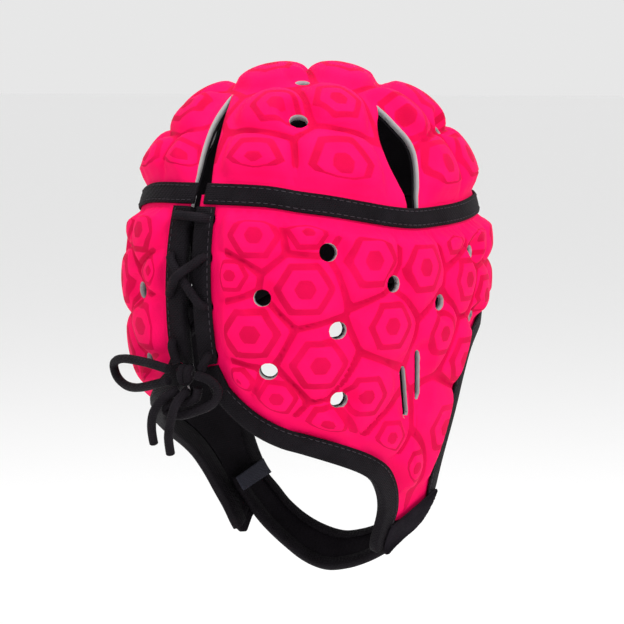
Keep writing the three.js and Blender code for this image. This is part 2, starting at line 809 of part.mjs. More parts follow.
function slitCutter([topAzimuth, topShare, lowAzimuth, lowShare], sign) {
  const outer = [];
  const inner = [];
  for (const [share, width] of [[0, 0.5], [0.12, 1], [0.88, 1], [1, 0.5]]) {
    const azimuth = THREE.MathUtils.lerp(topAzimuth, lowAzimuth, share);
    const depth = CAP_DEPTH * THREE.MathUtils.lerp(topShare, lowShare, share);
    const half = azimuthStep(azimuth, depth, SLIT_WIDTH * width / 2);
    const edges = [sign * (azimuth - half), sign * (azimuth + half)];
    outer.push(edges.map((edge) => layer(edge, depth, CUT_DEPTH - CUT_BELOW)));
    inner.push(edges.map((edge) => layer(edge, depth, -CUT_BELOW)));
  }
  return shell(outer, inner);
}

// Eyelet centres, a set distance in from the rear edge of each side
function eyeletPlaces() {
  const top = bandDepth(0) + JOINT_GAP / 2;
  return EYELETS.map(([share, name]) => {
    const side = SIDES[name];
    const depth = CAP_DEPTH * share;
    const corner = edgePlace(side, 0);
    const fall = (depth - top) / (corner.depth - top);
    const edge = THREE.MathUtils.lerp(side.sign * side.rearTop, corner.azimuth, fall);
    return { azimuth: edge + side.sign * azimuthStep(edge, depth, EYELET_INSET), depth, name };
  });
}

const EYELET_PLACES = eyeletPlaces();

function eyeletCutters(name) {
  return EYELET_PLACES.filter((place) => !name || place.name === name).map((place) => {
    const radius = LACE_DIAMETER / 2 + EYELET_CLEARANCE;
    return holeCutter(formPoint(place.azimuth, place.depth), radius);
  });
}

const PAD_BASE = LINING_THICKNESS + LAYER_GAP;

// Points of one layer of the side panel: right side from the lacing, then left side back to it
function panelGrid(rows, columns, margin, standOff) {
  return rows.map((row) => {
    const right = columns.map((column) => [SIDES.right, column]);
    const left = columns.slice(0, -1).reverse().map((column) => [SIDES.left, column]);
    return [...right, ...left].map(([side, column]) => {
      const place = panelPlace(side, column, row, margin);
      return layer(place.azimuth, place.depth, standOff(place, column, row));
    });
  });
}

function upTo(last) {
  return Array.from({ length: last + 1 }, (_, k) => k);
}

function sideCutters(corners) {
  return [
    ...SIDE_HOLES.map((hole) => holeCutter(hole.centre, hole.radius, corners)),
    ...EAR_SLITS.flatMap((slit) => [slitCutter(slit, 1), slitCutter(slit, -1)]),
  ];
}

function sidePad() {
  const rows = upTo(PANEL_ROWS);
  const columns = upTo(PANEL_COLUMNS);
  const top = (place, column, row) => PAD_BASE + sideThickness(place, column, row);
  const outer = panelGrid(rows, columns, 0, top);
  const inner = panelGrid(rows.filter((row) => row % 2 === 0), columns, 0, () => PAD_BASE);
  return cut(shell(outer, inner), [...sideCutters(VENT_CORNERS), ...eyeletCutters()]);
}

function sideLining() {
  const rows = upTo(LINING_ROWS).map((k) => (PANEL_ROWS - 1) * k / LINING_ROWS);
  const columns = upTo(PANEL_COLUMNS).slice(1);
  const outer = panelGrid(rows, columns, LINING_MARGIN, () => LINING_THICKNESS);
  const inner = panelGrid(rows, columns, LINING_MARGIN, () => 0);
  return cut(shell(outer, inner), sideCutters(LINING_VENT_CORNERS));
}

// Crown nodes: ring 0 at the vertex, the last ring at the joint under the band
function crownPlace(azimuth, ring, rings) {
  if (ring === 0) {
    return { azimuth: 0, depth: 0 };
  }
  const joint = bandDepth(azimuth) - JOINT_GAP / 2;
  const flange = shareAt(joint - BAND_FLANGE);
  if (ring > rings - 1) {
    return { azimuth, depth: THREE.MathUtils.lerp(depthAt(flange), joint, ring - rings + 1) };
  }
  return { azimuth, depth: depthAt(flange * ring / (rings - 1)) };
}

function crownGrid(standOff) {
  return upTo(CROWN_RINGS).map((ring) => {
    return upTo(CROWN_COLUMNS).map((column) => {
      const azimuth = (column % CROWN_COLUMNS) * 360 / CROWN_COLUMNS;
      const place = crownPlace(azimuth, ring, CROWN_RINGS);
      return layer(place.azimuth, place.depth, standOff(place, ring));
    });
  });
}

function crownCutters(corners) {
  return [
    gapCutter(REAR_GAP, 1),
    gapCutter(SIDE_GAP, 1),
    gapCutter(SIDE_GAP, -1),
    ...CROWN_HOLES.map((hole) => holeCutter(hole.centre, hole.radius, corners)),
  ];
}

function crownPad() {
  const outer = crownGrid((place, ring) => PAD_BASE + crownThickness(place, ring));
  const inner = thinned(crownGrid(() => PAD_BASE));
  return cut(shell(outer, inner, true), crownCutters(VENT_CORNERS));
}

function crownLining() {
  const outer = thinned(crownGrid(() => LINING_THICKNESS));
  const inner = thinned(crownGrid(() => 0));
  return cut(shell(outer, inner, true), crownCutters(LINING_VENT_CORNERS));
}

// Flat tape round the head over the joint
const BAND_STATIONS = 48;
const TAPE_FACE = PAD_BASE + EDGE_THICKNESS + TAPE_GAP;

function headBand() {
  const sections = [];
  for (let k = 0; k <= BAND_STATIONS; k += 1) {
    const azimuth = THREE.MathUtils.lerp(BAND_START, BAND_END, k / BAND_STATIONS);
    const depth = bandDepth(azimuth);
    const low = depth + TAPE_WIDTH / 2;
    const high = depth - TAPE_WIDTH / 2;
    sections.push([
      layer(azimuth, low, TAPE_FACE),
      layer(azimuth, low, TAPE_FACE + TAPE_THICKNESS),
      layer(azimuth, high, TAPE_FACE + TAPE_THICKNESS),
      layer(azimuth, high, TAPE_FACE),
    ]);
  }
  return loft(sections, BOX_CAP);
}

// Folded tape: a channel section over an edge, from the place on the edge and the one inward
const WEB_GAP = 0.3;

function channelSection(edge, inset) {
  const p = formPoint(edge.azimuth, edge.depth);
  const q = formPoint(inset.azimuth, inset.depth);
  const inward = q.clone().sub(p);
  const full = inward.length() * TAPE_WIDTH / (TAPE_WIDTH + TAPE_MARGIN);
  inward.normalize();
  const at = (distance, standOff) => {
    const base = distance > 0 ? placeOf(p.clone().addScaledVector(inward, distance)) : edge;
    const out = layer(base.azimuth, base.depth, standOff);
    return distance > 0 ? out : out.addScaledVector(inward, distance);
  };
  const outside = TAPE_FACE + TAPE_THICKNESS;
  const underside = PAD_BASE - TAPE_UNDER_GAP;
  const web = WEB_GAP + TAPE_THICKNESS;
  return [
    at(full, outside),
    at(-web, outside),
    at(-web, underside - TAPE_THICKNESS),
    at(full, underside - TAPE_THICKNESS),
    at(full, underside),
    at(-WEB_GAP, underside),
    at(-WEB_GAP, TAPE_FACE),
    at(full, TAPE_FACE),
  ];
}

function panelSection(side, column) {
  const edge = panelPlace(side, column, PANEL_ROWS);
  return channelSection(edge, panelPlace(side, column, PANEL_ROWS - 1));
}

function cornerSection(side) {
  return channelSection(edgePlace(side, 0), cornerInset(side, 0));
}

function blend(a, b, share) {
  return a.map((p, i) => p.clone().lerp(b[i], share));
}

const MITRE_SHARE = 0.03;

function rearBinding(side) {
  const sections = [];
  for (let row = 1; row < PANEL_ROWS - 1; row += 1) {
    const edge = rearPlace(side, row);
    sections.push(channelSection(edge, rearStep(side, edge.depth, TAPE_WIDTH + TAPE_MARGIN)));
  }
  sections.push(blend(cornerSection(side), sections[sections.length - 1], MITRE_SHARE));
  return cut(loft(sections, CHANNEL_CAP), eyeletCutters(side.name));
}

function lowerBinding(side) {
  const sections = [];
  for (let column = 2; columnEnds(column).row <= REAR_TAPE_END; column += 1) {
    sections.push(panelSection(side, column));
  }
  sections.unshift(blend(cornerSection(side), sections[0], MITRE_SHARE));
  return loft(sections, CHANNEL_CAP);
}

function faceBinding() {
  const sections = [];
  for (let column = PANEL_COLUMNS; columnEnds(column).row >= FACE_TAPE_START; column -= 1) {
    sections.push(panelSection(SIDES.left, column));
  }
  sections.reverse();
  for (let column = PANEL_COLUMNS - 1; columnEnds(column).row >= FACE_TAPE_START; column -= 1) {
    sections.push(panelSection(SIDES.right, column));
  }
  return loft(sections, CHANNEL_CAP);
}

// Loop patch on the tip of the right jaw flap: rear and front azimuth at each depth share
const PATCH_THICKNESS = 1.2;
const PATCH_GAP = 0.4;
const PATCH_ROWS = [
  [0.868, 115.5, 118.4],
  [0.885, 104.0, 119.2],
  [0.905, 91.5, 119.4],
  [0.925, 81.5, 118.4],
  [0.945, 80.5, 113.8],
  [0.96, 80.5, 104.0],
  [0.975, 81.2, 96.0],
  [0.988, 82.8, 90.2],
  [0.995, 84.8, 87.6],
];
const PATCH_COLUMNS = 4;

function loopPatch() {
  const base = TAPE_FACE + TAPE_THICKNESS + PATCH_GAP;
  const outer = [];
  const inner = [];
  for (const [share, rear, front] of PATCH_ROWS) {
    const places = [];
    for (let k = 0; k <= PATCH_COLUMNS; k += 1) {
      places.push(THREE.MathUtils.lerp(rear, front, k / PATCH_COLUMNS));
    }
    const depth = CAP_DEPTH * share;
    outer.push(places.map((azimuth) => layer(azimuth, depth, base + PATCH_THICKNESS)));
    inner.push(places.map((azimuth) => layer(azimuth, depth, base)));
  }
  return shell(outer, inner);
}

// Chin strap: where its rear and front edges lie, from the left flap to the right one, as
// shares of the strap's half span across, reach forward and drop below the origin
const STRAP_SPAN = 52;
const STRAP_REACH = 38;
const STRAP_DROP = 270;
const STRAP_THICKNESS = 3;
// rear edge across | forward | down | front edge across | forward | down
const STRAP_SECTIONS = [
  [1.02, -0.05, 0.824, 1.02, 0.55, 0.8],
  [0.965, 0.0, 0.848, 0.965, 0.62, 0.826],
  [0.88, 0.09, 0.88, 0.86, 0.72, 0.856],
  [0.73, 0.2, 0.922, 0.72, 0.78, 0.888],
  [0.49, 0.26, 0.96, 0.5, 0.8, 0.915],
  [0.25, 0.3, 0.988, 0.26, 0.83, 0.933],
  [0.0, 0.34, 1.0, 0.0, 0.86, 0.941],
  [-0.24, 0.4, 0.993, -0.24, 0.89, 0.932],
  [-0.46, 0.46, 0.977, -0.46, 0.91, 0.915],
  [-0.66, 0.53, 0.955, -0.63, 0.95, 0.894],
  [-0.79, 0.66, 0.933, -0.74, 1.03, 0.878],
  [-0.84, 0.84, 0.917, -0.8, 1.08, 0.871],
];
const STRAP_STEPS = 16;
const BIND_WIDTH = 5.5;
const BIND_THICKNESS = 0.7;
const BIND_GAP = 0.3;

function strapEdge(first, place) {
  return new THREE.Vector3(
    STRAP_SPAN * spline(STRAP_SECTIONS, first, place),
    -STRAP_REACH * spline(STRAP_SECTIONS, first + 1, place),
    -STRAP_DROP * spline(STRAP_SECTIONS, first + 2, place),
  );
}

// Frame of the strap at a place along it: its edges, its width direction and its face normal
function strapFrame(place) {
  const rear = strapEdge(0, place);
  const front = strapEdge(3, place);
  const step = 0.2;
  const along = strapEdge(0, Math.min(STRAP_SECTIONS.length - 1, place + step))
    .add(strapEdge(3, Math.min(STRAP_SECTIONS.length - 1, place + step)))
    .sub(strapEdge(0, Math.max(0, place - step)))
    .sub(strapEdge(3, Math.max(0, place - step)));
  const width = front.clone().sub(rear).normalize();
  const normal = along.cross(width).normalize();
  return { rear, front, width, normal };
}

function strapPlaces() {
  const last = STRAP_SECTIONS.length - 1;
  return Array.from({ length: STRAP_STEPS + 1 }, (_, k) => last * k / STRAP_STEPS);
}

function chinStrap() {
  const half = STRAP_THICKNESS / 2;
  const round = 1;
  const sections = strapPlaces().map((place) => {
    const { rear, front, width, normal } = strapFrame(place);
    const at = (p, w, n) => p.clone().addScaledVector(width, w).addScaledVector(normal, n);
    return [
      at(rear, 0, -half + round),
      at(rear, round, -half),
      at(front, -round, -half),
      at(front, 0, -half + round),
      at(front, 0, half - round),
      at(front, -round, half),
      at(rear, round, half),
      at(rear, 0, half - round),
    ];
  });
  return loft(sections, ROUND_CAP);
}

// Bound edge of the strap: a channel over its rear or its front edge
function strapBinding(onFront) {
  const inside = STRAP_THICKNESS / 2 + BIND_GAP;
  const outside = inside + BIND_THICKNESS;
  const sections = strapPlaces().map((place) => {
    const { rear, front, width, normal } = strapFrame(place);
    const edge = onFront ? front : rear;
    const inward = onFront ? -1 : 1;
    const at = (w, n) => edge.clone().addScaledVector(width, inward * w).addScaledVector(normal, n);
    return [
      at(BIND_WIDTH, outside),
      at(-BIND_GAP - BIND_THICKNESS, outside),
      at(-BIND_GAP - BIND_THICKNESS, -outside),
      at(BIND_WIDTH, -outside),
      at(BIND_WIDTH, -inside),
      at(-BIND_GAP, -inside),
      at(-BIND_GAP, inside),
      at(BIND_WIDTH, inside),
    ];
  });
  return loft(sections, CHANNEL_CAP);
}

// Woven tab over the start of the strap, inside the left flap
const TAB_LENGTH = 12;
const TAB_THICKNESS = 1;
const TAB_GAP = 0.4;
const TAB_OVERHANG = 1.5;

function strapTab() {
  const lift = STRAP_THICKNESS / 2 + BIND_GAP + BIND_THICKNESS + TAB_GAP;
  const sections = [0, 0.5, 1].map((share) => {
    const { rear, front, width, normal } = strapFrame(share * TAB_LENGTH / TAPE_WIDTH);
    const inner = normal.z > 0 ? 1 : -1;
    const at = (p, w, n) => p.clone().addScaledVector(width, w).addScaledVector(normal, inner * n);
    return [
      at(rear, -TAB_OVERHANG, lift),
      at(front, TAB_OVERHANG, lift),
      at(front, TAB_OVERHANG, lift + TAB_THICKNESS),
      at(rear, -TAB_OVERHANG, lift + TAB_THICKNESS),
    ];
  });
  return loft(sections, BOX_CAP);
}

// Lace: the eyelets in the order in which it passes them, by side and row from the top, and the
// stand-off of the lace half way to the next one
const LACE_OUT = 8.7;
const LACE_IN = -3.4;
const LACE_OVER = 14.3;
const LACE_UNDER = -9;
const LACE_PASSES = [
  ['left', 3, LACE_IN],
  ['right', 2, LACE_OUT],
  ['left', 1, LACE_IN],
  ['right', 0, LACE_OUT],
  ['left', 0, LACE_UNDER],
  ['right', 1, LACE_OVER],
  ['left', 2, LACE_UNDER],
  ['right', 3, LACE_OUT],
];
const BOW_KNOT = { azimuth: -1.2, depth: 145.5, standOff: 12.6 };
const LACE_START = fromKnot([-4, -4.5, -3]);
const LACE_END = fromKnot([4.4, -2.5, -3]);
const LACE_STEPS = 80;
const LACE_SIDES = 8;
const LACE_TURN = 3.8;
const LACE_LEAN = 0.5;
const LACE_RIM = 4.3;
const LACE_MIDDLE = 2.7;

// Place given by azimuth, depth and stand-off from the bow knot
function fromKnot([azimuth, depth, standOff]) {
  return {
    azimuth: BOW_KNOT.azimuth + azimuth,
    depth: BOW_KNOT.depth + depth,
    standOff: BOW_KNOT.standOff + standOff,
  };
}

// Place moved a distance from one place toward another
function toward(from, to, distance) {
  const p = formPoint(from.azimuth, from.depth);
  const step = formPoint(to.azimuth, to.depth).sub(p).normalize().multiplyScalar(distance);
  return placeOf(p.add(step));
}

function laceRoute() {
  const eyelets = LACE_PASSES.map(([name, row]) => {
    return EYELET_PLACES.filter((place) => place.name === name)[row];
  });
  const points = [LACE_START];
  eyelets.forEach((eyelet, i) => {
    const before = i > 0 ? eyelets[i - 1] : LACE_START;
    const after = i < eyelets.length - 1 ? eyelets[i + 1] : LACE_END;
    const inward = i % 2 === 0 ? 1 : -1;
    const at = (place, standOff) => points.push({ ...place, standOff });
    at(toward(eyelet, before, LACE_TURN), inward > 0 ? LACE_OUT : LACE_IN);
    at(toward(eyelet, before, LACE_LEAN), LACE_MIDDLE + inward * LACE_RIM);
    at(eyelet, LACE_MIDDLE);
    at(toward(eyelet, after, LACE_LEAN), LACE_MIDDLE - inward * LACE_RIM);
    at(toward(eyelet, after, LACE_TURN), inward > 0 ? LACE_IN : LACE_OUT);
    if (i < eyelets.length - 1) {
      at(between(eyelet, after, 0.5), LACE_PASSES[i][2]);
    }
  });
  return [...points, LACE_END];
}

// Bow: azimuth | depth | stand-off from the knot of the points of each loose stretch
const KNOT_SIZE = { across: 7.0, down: 5.6, out: 4.8 };
const BOW_LOOP_LEFT = [
  [-4.7, -3.3, 2.8],
  [-10.3, -4.9, 3.2],
  [-17.3, -5.7, 4.4],
  [-23.8, -5.1, 6.8],
  [-28.4, -1.5, 9],
  [-29, 4.5, 8.6],
  [-25.4, 8.7, 6.6],
  [-18.8, 9.1, 4.6],
  [-11.8, 6.3, 3.4],
  [-5.2, 2.9, 2.8],
];
const BOW_LOOP_RIGHT = [
  [4.8, -1.3, 2.6],
  [8.4, 0.5, 2.6],
  [10.6, 5.5, 2.6],
  [9, 12.1, 2.8],
  [3.8, 17.3, 3],
  [-3.4, 21.1, 3.2],
  [-8, 19.7, 3],
  [-6.4, 15.5, 2.8],
  [-0.8, 13.9, 2.6],
  [3.4, 10.7, 2.2],
  [4.4, 5.3, 1.6],
];
const BOW_TAIL_LEFT = [
  [-2.6, 7.3, 1.4],
  [-5.8, 11.3, 7.8],
  [-9.2, 19.1, 9.3],
  [-11.4, 28.5, 8.8],
  [-12.6, 36.5, 7.4],
];
const BOW_TAIL_RIGHT = [
  [0.5, 7.5, 1.4],
  [-0.4, 11.3, 9.2],
  [-2.6, 20.5, 10.2],
  [-5.2, 31.1, 9],
  [-6.2, 40.5, 7.6],
];

function tube(points, diameter, steps, sides) {
  const section = new THREE.Shape();
  for (let k = 0; k < sides; k += 1) {
    const turn = 2 * Math.PI * k / sides;
    const x = Math.cos(turn) * diameter / 2;
    const y = Math.sin(turn) * diameter / 2;
    if (k === 0) {
      section.moveTo(x, y);
    } else {
      section.lineTo(x, y);
    }
  }
  section.closePath();
  const path = new THREE.CatmullRomCurve3(points, false, 'centripetal');
  const geometry = new THREE.ExtrudeGeometry(section, { steps, extrudePath: path });
  geometry.deleteAttribute('normal');
  geometry.deleteAttribute('uv');
  return mergeVertices(geometry, 1e-4);
}

function lace() {
  const points = laceRoute().map((place) => layer(place.azimuth, place.depth, place.standOff));
  return tube(points, LACE_DIAMETER, LACE_STEPS, LACE_SIDES);
}

function looseLace(route, steps) {
  const places = route.map(fromKnot);
  const points = places.map((place) => layer(place.azimuth, place.depth, place.standOff));
  return tube(points, LACE_DIAMETER, steps, LACE_SIDES);
}

function bowKnot() {
  const geometry = new THREE.SphereGeometry(1, 10, 6);
  const centre = layer(BOW_KNOT.azimuth, BOW_KNOT.depth, BOW_KNOT.standOff);
  geometry.scale(KNOT_SIZE.across, KNOT_SIZE.out, KNOT_SIZE.down);
  geometry.translate(centre.x, centre.y, centre.z);
  geometry.deleteAttribute('normal');
  geometry.deleteAttribute('uv');
  return mergeVertices(geometry, 1e-4);
}

const part = new THREE.Group();

function add(name, geometry, { color, roughness }) {
  const material = new THREE.MeshStandardMaterial({ color, roughness, metalness: 0 });
  const mesh = new THREE.Mesh(geometry, material);
  mesh.name = name;
  part.add(mesh);
}

const PINK = { color: 0xf0025a, roughness: 0.62 };
const LINING = { color: 0x151316, roughness: 0.85 };
const TAPE = { color: 0x18151a, roughness: 0.8 };
const LOOP = { color: 0x1c181f, roughness: 0.95 };
const WEBBING = { color: 0x30303a, roughness: 0.6 };
const CORD = { color: 0x121013, roughness: 0.75 };

add('crown_pad', crownPad(), PINK);
add('crown_lining', crownLining(), LINING);
add('side_pad', sidePad(), PINK);
add('side_lining', sideLining(), LINING);
add('head_band', headBand(), TAPE);
for (const side of Object.values(SIDES)) {
  add(`rear_binding_${side.name}`, rearBinding(side), TAPE);
  add(`lower_binding_${side.name}`, lowerBinding(side), TAPE);
}
add('face_binding', faceBinding(), TAPE);
add('loop_patch', loopPatch(), LOOP);
add('chin_strap', chinStrap(), LINING);
add('strap_binding_rear', strapBinding(false), TAPE);
add('strap_binding_front', strapBinding(true), TAPE);
add('strap_tab', strapTab(), WEBBING);
add('lace', lace(), CORD);
add('lace_knot', bowKnot(), CORD);
add('lace_loop_left', looseLace(BOW_LOOP_LEFT, 16), CORD);
add('lace_loop_right', looseLace(BOW_LOOP_RIGHT, 16), CORD);
add('lace_tail_left', looseLace(BOW_TAIL_LEFT, 6), CORD);
add('lace_tail_right', looseLace(BOW_TAIL_RIGHT, 6), CORD);

export default part;
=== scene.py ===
import math

import bmesh
import bpy
import numpy as np
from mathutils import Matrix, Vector


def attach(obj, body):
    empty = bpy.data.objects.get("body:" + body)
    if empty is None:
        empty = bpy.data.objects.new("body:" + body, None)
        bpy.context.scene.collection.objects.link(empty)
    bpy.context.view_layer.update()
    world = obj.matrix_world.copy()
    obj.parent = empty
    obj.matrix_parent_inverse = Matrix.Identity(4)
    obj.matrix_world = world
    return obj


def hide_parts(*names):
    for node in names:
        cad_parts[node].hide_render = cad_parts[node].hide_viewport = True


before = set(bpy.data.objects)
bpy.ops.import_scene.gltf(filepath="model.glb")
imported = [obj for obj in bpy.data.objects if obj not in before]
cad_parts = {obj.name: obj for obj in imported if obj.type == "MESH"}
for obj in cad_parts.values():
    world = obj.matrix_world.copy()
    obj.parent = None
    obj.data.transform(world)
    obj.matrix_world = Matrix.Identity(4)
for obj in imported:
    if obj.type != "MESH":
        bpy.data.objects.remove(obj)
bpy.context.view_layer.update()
MM = 0.001

HALF_WIDTH, FRONT_REACH, BACK_REACH = 79.0, 101.0, 102.5
DOME_DEPTH, CAP_DEPTH = 104.0, 253.0
PLAN_POWER, DOME_POWER = 2.25, 2.3
LINING_TOP, PAD_BASE = 0.8, 1.6
EDGE_THICKNESS, VALLEY_THICKNESS = 2.6, 3.6
SIDE_PAD_THICKNESS, CROWN_PAD_THICKNESS = 9.6, 11.6
PAD_SPAN, PAD_SHOULDER = 36.0, 8.0
TAPE_WIDTH, TAPE_THICKNESS, TAPE_GAP, TAPE_UNDER_GAP = 10.0, 0.9, 0.9, 0.7
TAPE_MARGIN, JOINT_GAP, BAND_MARGIN = 0.5, 0.6, 1.0
BAND_START, BAND_END = 2.4, 359.0
FLAP_LEAN, NAPE_LIFT = 8.0, 5.0
REAR_TAPE_END, FACE_TAPE_START = 16.0, 20.5
BAND_FLANGE = TAPE_WIDTH / 2 + BAND_MARGIN
FLAT_TIP_DEPTH, GAP_LIP, CORNER_STEP, SLIT_WIDTH = 0.865, 3.0, 5.0, 4.2
VENT_RADIUS = 4.6
LACE_DIAMETER, EYELET_CLEARANCE, EYELET_INSET = 4.8, 1.5, 6.4
PANEL_COLUMNS, PANEL_ROWS, CROWN_RINGS = 34, 12, 10
SIDES = {"right": (1, 0.0, 0.0, 0.6), "left": (-1, FLAP_LEAN, NAPE_LIFT, 2.5)}

# Stand-offs of the lace
LACE_OUT, LACE_IN, LACE_OVER, LACE_UNDER = 8.7, -3.4, 14.3, -9.0
# Drop below the dome as a share of what is left, half width, front, back (shares)
LOWER_SECTIONS = [
    (0.0, 1.0, 1.0, 1.0), (0.174, 0.98, 0.985, 0.975), (0.376, 0.92, 0.955, 0.915),
    (0.59, 0.84, 0.905, 0.85), (0.805, 0.715, 0.84, 0.78), (1.0, 0.565, 0.755, 0.705),
]
# Line of the head band: azimuth either side, depth as a share of the dome's
BAND_LINE = [
    (0, 0.553), (14, 0.556), (22, 0.563), (31, 0.586), (40, 0.606), (50, 0.633), (62, 0.662),
    (74, 0.678), (91, 0.675), (108, 0.665), (127, 0.644), (150, 0.63), (180, 0.625),
]
# Lower edge: azimuth, depth as a share of the cap's, left side's lean, left side's lift
LOWER_EDGE = [
    (1.5, 0.565, 0.3, 0.0), (3.8, 0.61, 0.5, 0.2), (7.3, 0.644, 0.8, 0.5),
    (13.0, 0.682, 1.0, 0.8), (18.7, 0.708, 1.1, 1.0), (24.8, 0.727, 1.2, 1.0),
    (30.4, 0.738, 1.2, 1.0), (37.0, 0.752, 1.2, 0.9), (46.6, 0.773, 1.1, 0.6),
    (54.5, 0.792, 1.1, 0.3), (61.5, 0.814, 1.0, 0.1), (66.3, 0.839, 0.9, 0.0),
    (70.3, 0.868, 0.8, 0.0), (73.0, 0.901, 0.8, 0.0), (74.3, 0.935, 0.9, 0.0),
    (75.5, 0.968, 0.9, 0.0), (79.0, 0.99, 0.8, 0.0), (86.0, 1.0, 0.6, 0.0),
    (93.0, 0.986, 0.4, 0.0), (100.0, 0.968, 0.3, 0.0), (108.0, 0.957, 0.2, 0.0),
    (115.5, 0.943, 0.1, 0.0), (119.5, 0.921, 0.0, 0.0), (120.0, 0.893, 0.0, 0.0),
    (118.6, 0.862, 0.0, 0.0), (116.6, 0.834, 0.0, 0.0), (114.9, 0.802, 0.0, 0.0),
    (114.2, 0.771, 0.0, 0.0), (114.5, 0.731, 0.0, 0.0), (116.0, 0.672, 0.0, 0.0),
    (117.5, 0.613, 0.0, 0.0), (120.5, 0.565, 0.0, 0.0), (128.0, 0.534, 0.0, 0.0),
    (140.0, 0.518, 0.0, 0.0), (160.0, 0.51, 0.0, 0.0), (180.0, 0.506, 0.0, 0.0),
]
# Row of the lower edge, inset of the tape's inner side as a share
INSETS = [
    (0, 1), (13, 1), (15.5, 0.7), (17, 0.5), (20, 0.5), (22, 0.7), (24.5, 1), (35, 1),
]
# Lines down the side: share of the columns, azimuth at the band, row of the lower edge
PANEL_LINES = [
    (0.0, 7, 0.2), (0.273, 52, 11), (0.424, 72, 16), (0.545, 88, 21.3), (0.788, 121, 31),
    (1.0, 180, 35),
]
# Bulges: azimuth, depth share, radius share, height share, upright stretch
SIDE_PADS = [
    (19, 0.305, 0.86, 1.0, 1.0), (13, 0.38, 0.62, 0.8, 1.0), (33, 0.292, 0.8, 0.85, 1.0),
    (32, 0.405, 1.0, 1.0, 1.0), (18, 0.49, 0.98, 1.0, 1.0), (52, 0.355, 1.06, 1.0, 1.0),
    (74, 0.375, 1.0, 1.0, 1.2), (59, 0.484, 0.96, 1.0, 1.0), (87, 0.512, 0.9, 1.0, 1.1),
    (103, 0.41, 0.9, 1.0, 1.0), (120, 0.45, 0.86, 1.0, 1.0), (117, 0.325, 0.84, 0.9, 1.0),
    (95, 0.318, 0.8, 0.9, 1.0), (105, 0.575, 0.96, 1.0, 1.1), (36, 0.552, 1.0, 1.0, 1.05),
    (24, 0.62, 0.72, 0.8, 1.0), (51, 0.622, 0.86, 1.0, 1.3), (38, 0.68, 0.86, 1.0, 0.8),
    (63, 0.715, 0.72, 1.0, 1.0), (99, 0.715, 1.0, 1.0, 1.6), (82, 0.79, 0.76, 1.0, 1.0),
    (13, 0.59, 0.66, 0.7, 1.0), (139, 0.33, 0.9, 1.0, 1.0), (159, 0.32, 0.86, 1.0, 1.0),
    (142, 0.43, 0.9, 0.9, 1.0), (163, 0.425, 0.9, 0.9, 1.0),
]
FOREHEAD_PADS = [
    (180, 0.32, 0.8, 1.0, 1.0),
]
CROWN_PADS = [
    (20, 0.19, 0.86, 1.0, 1.0), (45, 0.17, 0.86, 1.0, 1.0), (17, 0.43, 1.0, 1.0, 1.0),
    (43, 0.44, 1.15, 1.0, 1.0), (88, 0.22, 1.05, 1.0, 1.0), (97, 0.45, 1.05, 1.0, 1.0),
    (122, 0.42, 1.0, 1.0, 1.0), (126, 0.17, 0.95, 1.0, 1.0), (148, 0.42, 1.0, 1.0, 1.0),
    (158, 0.17, 0.95, 1.0, 1.0), (180, 0.42, 1.0, 1.0, 1.0), (-8, 0.025, 0.86, 1.0, 1.0),
    (78, 0.018, 0.8, 1.0, 1.0), (-78, 0.018, 0.8, 1.0, 1.0), (180, 0.018, 0.86, 1.0, 1.0),
    (-24, 0.2, 0.8, 1.0, 1.0), (-10, 0.41, 0.8, 0.95, 1.0), (-27, 0.43, 0.8, 1.0, 1.0),
    (-50, 0.44, 1.0, 1.0, 1.0), (-49, 0.16, 0.9, 1.0, 1.0), (-88, 0.22, 1.05, 1.0, 1.0),
    (-97, 0.45, 1.05, 1.0, 1.0), (-122, 0.42, 1.0, 1.0, 1.0), (-126, 0.17, 0.95, 1.0, 1.0),
    (-148, 0.42, 1.0, 1.0, 1.0), (-158, 0.17, 0.95, 1.0, 1.0),
]
# Vents: azimuth, depth share, radius share
SIDE_VENTS = [
    (39, 0.336, 1.0), (21, 0.423, 0.92), (62, 0.404, 0.92), (88, 0.452, 0.92), (115, 0.494, 0.7),
    (112, 0.358, 0.8), (42, 0.49, 1.0), (43, 0.632, 1.0), (22, 0.569, 0.96),
]
CROWN_VENTS = [
    (29, 0.221, 1.0), (27, 0.045, 0.8), (120, 0.27, 0.7), (-120, 0.27, 0.7), (-38, 0.24, 0.6),
]
# Ear slits: azimuth and depth share of the top end, then of the low end
EAR_SLITS = [
    (69.2, 0.583, 74.6, 0.682), (76.8, 0.553, 80.7, 0.644),
]
# Dart gaps: depth as a share of the dome's, azimuth of each edge
REAR_GAP = [
    (0.105, -14.5, -13.5), (0.16, -10.2, -6.2), (0.26, -6.8, -0.8), (0.35, -4.7, 1.4),
    (0.45, -3.3, 2.8), (0.58, -3.3, 3.6),
]
SIDE_GAP = [
    (0.152, 75.2, 76.2), (0.19, 71.5, 79.0), (0.235, 66.8, 81.4), (0.3, 64.3, 85.3),
    (0.36, 64.3, 85.7), (0.43, 65.4, 83.6), (0.52, 68.4, 80.4), (0.6, 71.2, 78.2),
    (0.7, 71.4, 78.0),
]
# Eyelets: depth as a share of the cap's, side
EYELETS = [
    (0.2745, 'right'), (0.348, 'right'), (0.443, 'right'), (0.5395, 'right'), (0.2705, 'left'),
    (0.348, 'left'), (0.423, 'left'), (0.5175, 'left'),
]
# Loop patch: depth share, rear azimuth, front azimuth
PATCH_ROWS = [
    (0.868, 115.5, 118.4), (0.885, 104.0, 119.2), (0.905, 91.5, 119.4), (0.925, 81.5, 118.4),
    (0.945, 80.5, 113.8), (0.96, 80.5, 104.0), (0.975, 81.2, 96.0), (0.988, 82.8, 90.2),
    (0.995, 84.8, 87.6),
]
